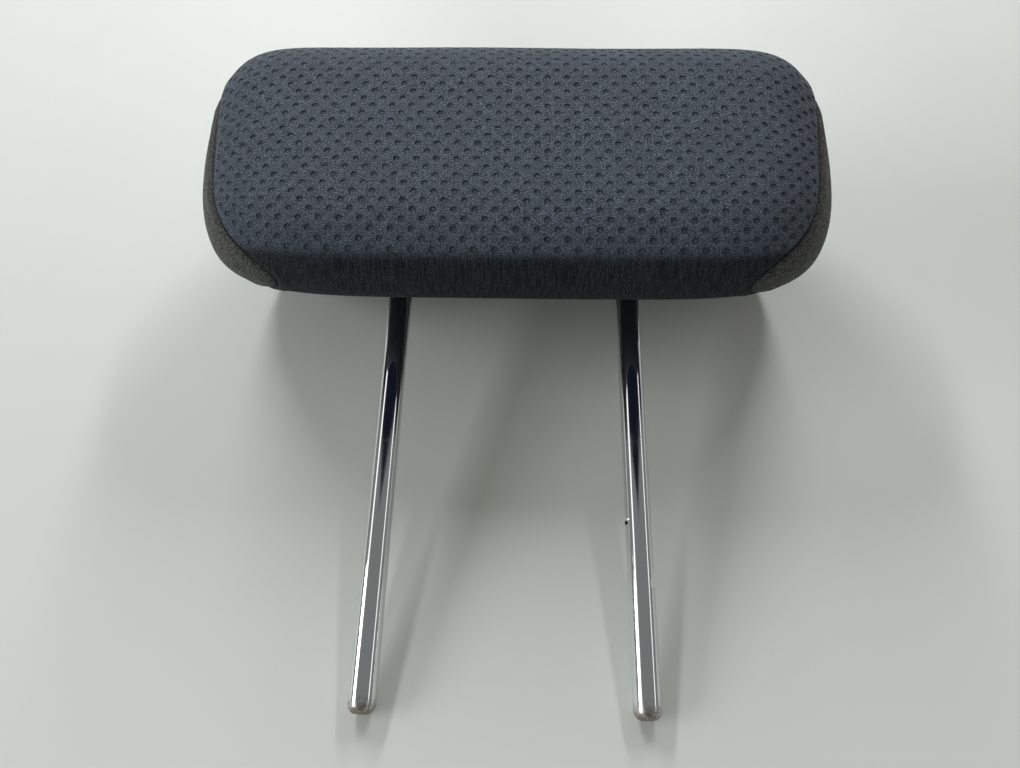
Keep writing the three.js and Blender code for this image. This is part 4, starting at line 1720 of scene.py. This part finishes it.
@dataclass
class PostGrommet:
    """The plastic ring where a post leaves the cushion: a flange and a sleeve, turned round the post."""

    underside: float = UNDERSIDE
    bore: float = 5.3 * MM
    flange: float = 9.2 * MM
    sleeve: float = 6.8 * MM
    flange_height: float = 2.5 * MM
    sleeve_height: float = 9 * MM
    gap: float = 0.3 * MM
    edge: float = 0.8 * MM
    edge_steps: int = 4
    chamfer: float = 0.3 * MM
    sides: int = 72
    sharp_deg: float = 40

    def build(self, side: Side, node: str, post_x: float) -> Piece:
        """Builds one ring.

        Args:
            side: Which post.
            node: Node that it stands for.
            post_x: Distance of the post from the middle.

        Returns:
            The piece.
        """
        seat = self.underside - self.gap
        foot = seat - self.flange_height
        top = seat + self.sleeve_height
        bends = [k * math.pi / (2 * self.edge_steps) for k in range(self.edge_steps + 1)]
        rounding = [(self.flange - self.edge * (1 - math.sin(a)), foot + self.edge * (1 - math.cos(a)))
                    for a in bends]
        profile = [(self.bore + self.chamfer, foot), *rounding, (self.flange, seat), (self.sleeve, seat),
                   (self.sleeve, top), (self.bore, top), (self.bore, foot + self.chamfer)]
        turns = np.linspace(0, 2 * np.pi, self.sides, endpoint=False)
        rings = np.array([[(side.value * post_x + r * math.cos(a), r * math.sin(a), z) for r, z in profile]
                          for a in turns])
        mesh = grid_mesh(f"{side.word}_ring", rings, wrap_rows=True, wrap_columns=True)
        with edited(mesh) as shape:
            bmesh.ops.recalc_face_normals(shape, faces=shape.faces)
        mesh.materials.append(TRIM_PLASTIC.material())
        smooth(mesh, self.sharp_deg)
        return Piece(new_piece(f"{side.word}_post_ring", mesh), (node,), Slot.TRIM_PLASTIC)


def dress_nodes() -> None:
    """Gives the kept nodes inside the cushion and the closure strips their finishes."""
    finishes = {
        "core_front": CORE_PLASTIC, "core_rear": CORE_PLASTIC, "foam_pad": FoamFinish(),
        "front_closure_strip": TRIM_PLASTIC, "rear_closure_strip": TRIM_PLASTIC,
    }
    for name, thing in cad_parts.items():
        finish = ScrewFinish() if name.startswith("core_screw") else finishes.get(name)
        if finish is not None:
            thing.data.materials.clear()
            thing.data.materials.append(finish.material())


# Studio


class Lamp(NamedTuple):
    """A soft rectangular lamp: its name, where it hangs, its width and length, and its power in watts."""

    name: str
    place: tuple[float, float, float]
    size: tuple[float, float]
    power: float


LAMPS = (
    Lamp("left_strip", (-0.62, -0.75, 1.60), (0.13, 1.0), 16.5),
    Lamp("right_strip", (0.50, -0.75, 1.60), (0.11, 1.0), 12.5),
    Lamp("low_left_window", (-1.5, -0.75, -0.15), (0.5, 1.1), 14.0),
    Lamp("rear_left_fill", (-1.2, 1.4, 0.9), (1.2, 1.2), 7.5),
    Lamp("rear_right_fill", (1.2, 1.4, 0.6), (1.2, 1.2), 1.5),
)


@dataclass(frozen=True)
class Studio:
    """Plain pale table behind the headrest, soft lamps, and a surround that mirrors show as a grey wall
    with a window strip at each side and a dark curtain above."""

    table_size: float = 3.0
    table_at: float = 5 * MM
    table_slope: float = 0.19
    table_colour: Colour = (0.60, 0.641, 0.622)
    table_patch: Texture = Texture(5.0, 4.0, 0.6)
    table_tone: float = 0.9
    table_roughness: float = 0.5
    table_specular: float = 0.25
    surround: Colour = (0.62, 0.65, 0.64)
    fill_colour: Colour = (0.60, 0.57, 0.52)
    fill_heights: Span = (-0.7, 0.8)
    fill_levels: Span = (0.66, 0.48)
    mirror_colour: Colour = (0.195, 0.205, 0.20)
    curtain_colour: Colour = (0.006, 0.008, 0.016)
    curtain_height: float = 0.275
    curtain_rise: float = 0.13
    curtain_edge: float = 0.02
    curtain_side: float = 0.05
    window_colour: Colour = (1.5, 1.5, 1.48)
    windows: tuple[Span, ...] = ((-54.0, 8.0), (62.0, 4.5))
    window_core: float = 0.4
    aim: tuple[float, float, float] = (0.0, 0.0, 0.18)

    def table(self) -> None:
        """Builds the table plane, which is open from behind and to shadow rays."""
        size = self.table_size
        mesh = bpy.data.meshes.new("table")
        corners = [(x, self.table_at + self.table_slope * z, z) for x, z in
                   ((-size, -size), (size, -size), (size, size), (-size, size))]
        mesh.from_pydata(corners, [], [(0, 1, 2, 3)])
        material, graph, shader = new_material("pale_table")
        patch = graph.noise(graph.object_place(), self.table_patch)
        darker = tuple(c * self.table_tone for c in self.table_colour)
        graph.put(shader.inputs["Base Color"], graph.blend(patch, rgba(darker), rgba(self.table_colour)))
        shader.inputs["Roughness"].default_value = self.table_roughness
        shader.inputs["Specular IOR Level"].default_value = self.table_specular
        clear = graph.add("ShaderNodeBsdfTransparent")
        behind = graph.add("ShaderNodeNewGeometry").outputs["Backfacing"]
        shadow = graph.add("ShaderNodeLightPath").outputs["Is Shadow Ray"]
        share = graph.math("MAXIMUM", behind, shadow)
        mix = graph.add("ShaderNodeMixShader", {0: share, 1: shader.outputs[0], 2: clear.outputs[0]})
        graph.put(material.node_tree.nodes["Material Output"].inputs["Surface"], mix.outputs[0])
        mesh.materials.append(material)
        new_piece("table", mesh)

    def world(self) -> None:
        """Makes the surround: pale where it is seen, stronger from below as light, and for mirrors
        grey with two window strips and a dark curtain high in front."""
        world = bpy.data.worlds.new("studio")
        bpy.context.scene.world = world
        world.use_nodes = True
        graph = Graph(world.node_tree)
        paths = graph.add("ShaderNodeLightPath")
        heading = graph.add("ShaderNodeTexCoord").outputs["Generated"]
        across, depth, up = graph.add("ShaderNodeSeparateXYZ", {0: heading}).outputs
        edge = graph.math("ADD", graph.math("MULTIPLY", graph.math("ABSOLUTE", across), self.curtain_rise),
                          self.curtain_height)
        above = graph.ramp(graph.math("SUBTRACT", up, edge), -self.curtain_edge, self.curtain_edge)
        in_front = graph.ramp(depth, -self.curtain_side, self.curtain_side, 1.0, 0.0)
        curtain = graph.math("MULTIPLY", above, in_front)
        mirrored = graph.blend(curtain, rgba(self.mirror_colour), rgba(self.curtain_colour))
        turn = graph.math("ARCTAN2", across, graph.math("MULTIPLY", depth, -1.0))
        for centre, half in self.windows:
            away = graph.math("ABSOLUTE", graph.math("SUBTRACT", turn, math.radians(centre)))
            window = graph.ramp(away, math.radians(self.window_core * half), math.radians(half), 1.0, 0.0)
            mirrored = graph.blend(window, mirrored, rgba(self.window_colour))
        level = graph.ramp(up, *self.fill_heights, *self.fill_levels)
        fill = graph.add("ShaderNodeVectorMath", {0: self.fill_colour, "Scale": level}, operation="SCALE")
        lit = graph.blend(paths.outputs["Is Glossy Ray"], fill.outputs[0], mirrored)
        seen = graph.math("MAXIMUM", paths.outputs["Is Camera Ray"], paths.outputs["Is Transmission Ray"])
        back = world.node_tree.nodes["Background"]
        graph.put(back.inputs["Color"], graph.blend(seen, lit, rgba(self.surround)))

    def hang(self, lamp: Lamp) -> None:
        """Hangs a lamp and turns it towards the headrest.

        Args:
            lamp: The lamp.
        """
        light = bpy.data.lights.new(lamp.name, "AREA")
        light.shape = "RECTANGLE"
        light.size, light.size_y = lamp.size
        light.energy = lamp.power
        thing = bpy.data.objects.new(lamp.name, light)
        bpy.context.scene.collection.objects.link(thing)
        place = Vector(lamp.place)
        thing.location = place
        thing.rotation_mode = "QUATERNION"
        thing.rotation_quaternion = (Vector(self.aim) - place).to_track_quat("-Z", "Y")

    def build(self) -> None:
        """Builds the whole studio."""
        self.table()
        self.world()
        for lamp in LAMPS:
            self.hang(lamp)


@dataclass(frozen=True)
class PhotoCamera:
    """The photograph's camera: position, tilt, turn and roll, for a frame of 1020 by 768 pixels."""

    place: tuple[float, float, float] = (0.0066, -0.2919, -0.0091)
    tilt_deg: float = 25.22
    turn_deg: float = 1.42
    roll_deg: float = 1.37
    focal_pixels: float = 770.0
    frame_width: float = 1020.0
    sensor: float = 36.0
    near: float = 10 * MM

    def build(self) -> None:
        """Makes the camera and sets it as the scene's."""
        data = bpy.data.cameras.new("photo_camera")
        data.sensor_width = self.sensor
        data.lens = self.focal_pixels / self.frame_width * self.sensor
        data.clip_start = self.near
        camera = bpy.data.objects.new("photo_camera", data)
        bpy.context.scene.collection.objects.link(camera)
        turn = Matrix.Rotation(math.radians(self.turn_deg), 3, "Z")
        tilt = Matrix.Rotation(math.radians(90 + self.tilt_deg), 3, "X")
        roll = Matrix.Rotation(math.radians(self.roll_deg), 3, "Z")
        camera.location = self.place
        camera.rotation_mode = "QUATERNION"
        camera.rotation_quaternion = (turn @ tilt @ roll).to_quaternion()
        bpy.context.scene.camera = camera


# Assembly


def settle(piece: Piece) -> None:
    """Ties a piece to its body, hides the nodes that it stands for, and reports it.

    Args:
        piece: The piece.
    """
    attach(piece.thing, BODY)
    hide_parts(*piece.nodes)
    piece.thing.data.calc_loop_triangles()
    log.info("%s: %d triangles", piece.thing.name, len(piece.thing.data.loop_triangles))


def main() -> None:
    """Builds the headrest, the studio and the camera."""
    bpy.context.scene.view_settings.view_transform = "Standard"
    PhotoCamera().build()
    Studio().build()
    cover = Cover(CushionSurface(CushionForm()))
    settle(cover.front_panel())
    settle(cover.rear_panel())
    for side in Side:
        settle(cover.side_panel(side))
    stay = Stay()
    settle(stay.build())
    for side in Side:
        settle(PostGrommet().build(side, f"{side.word}_post_grommet", stay.post_x))
    dress_nodes()


if __name__ == "__main__":
    main()
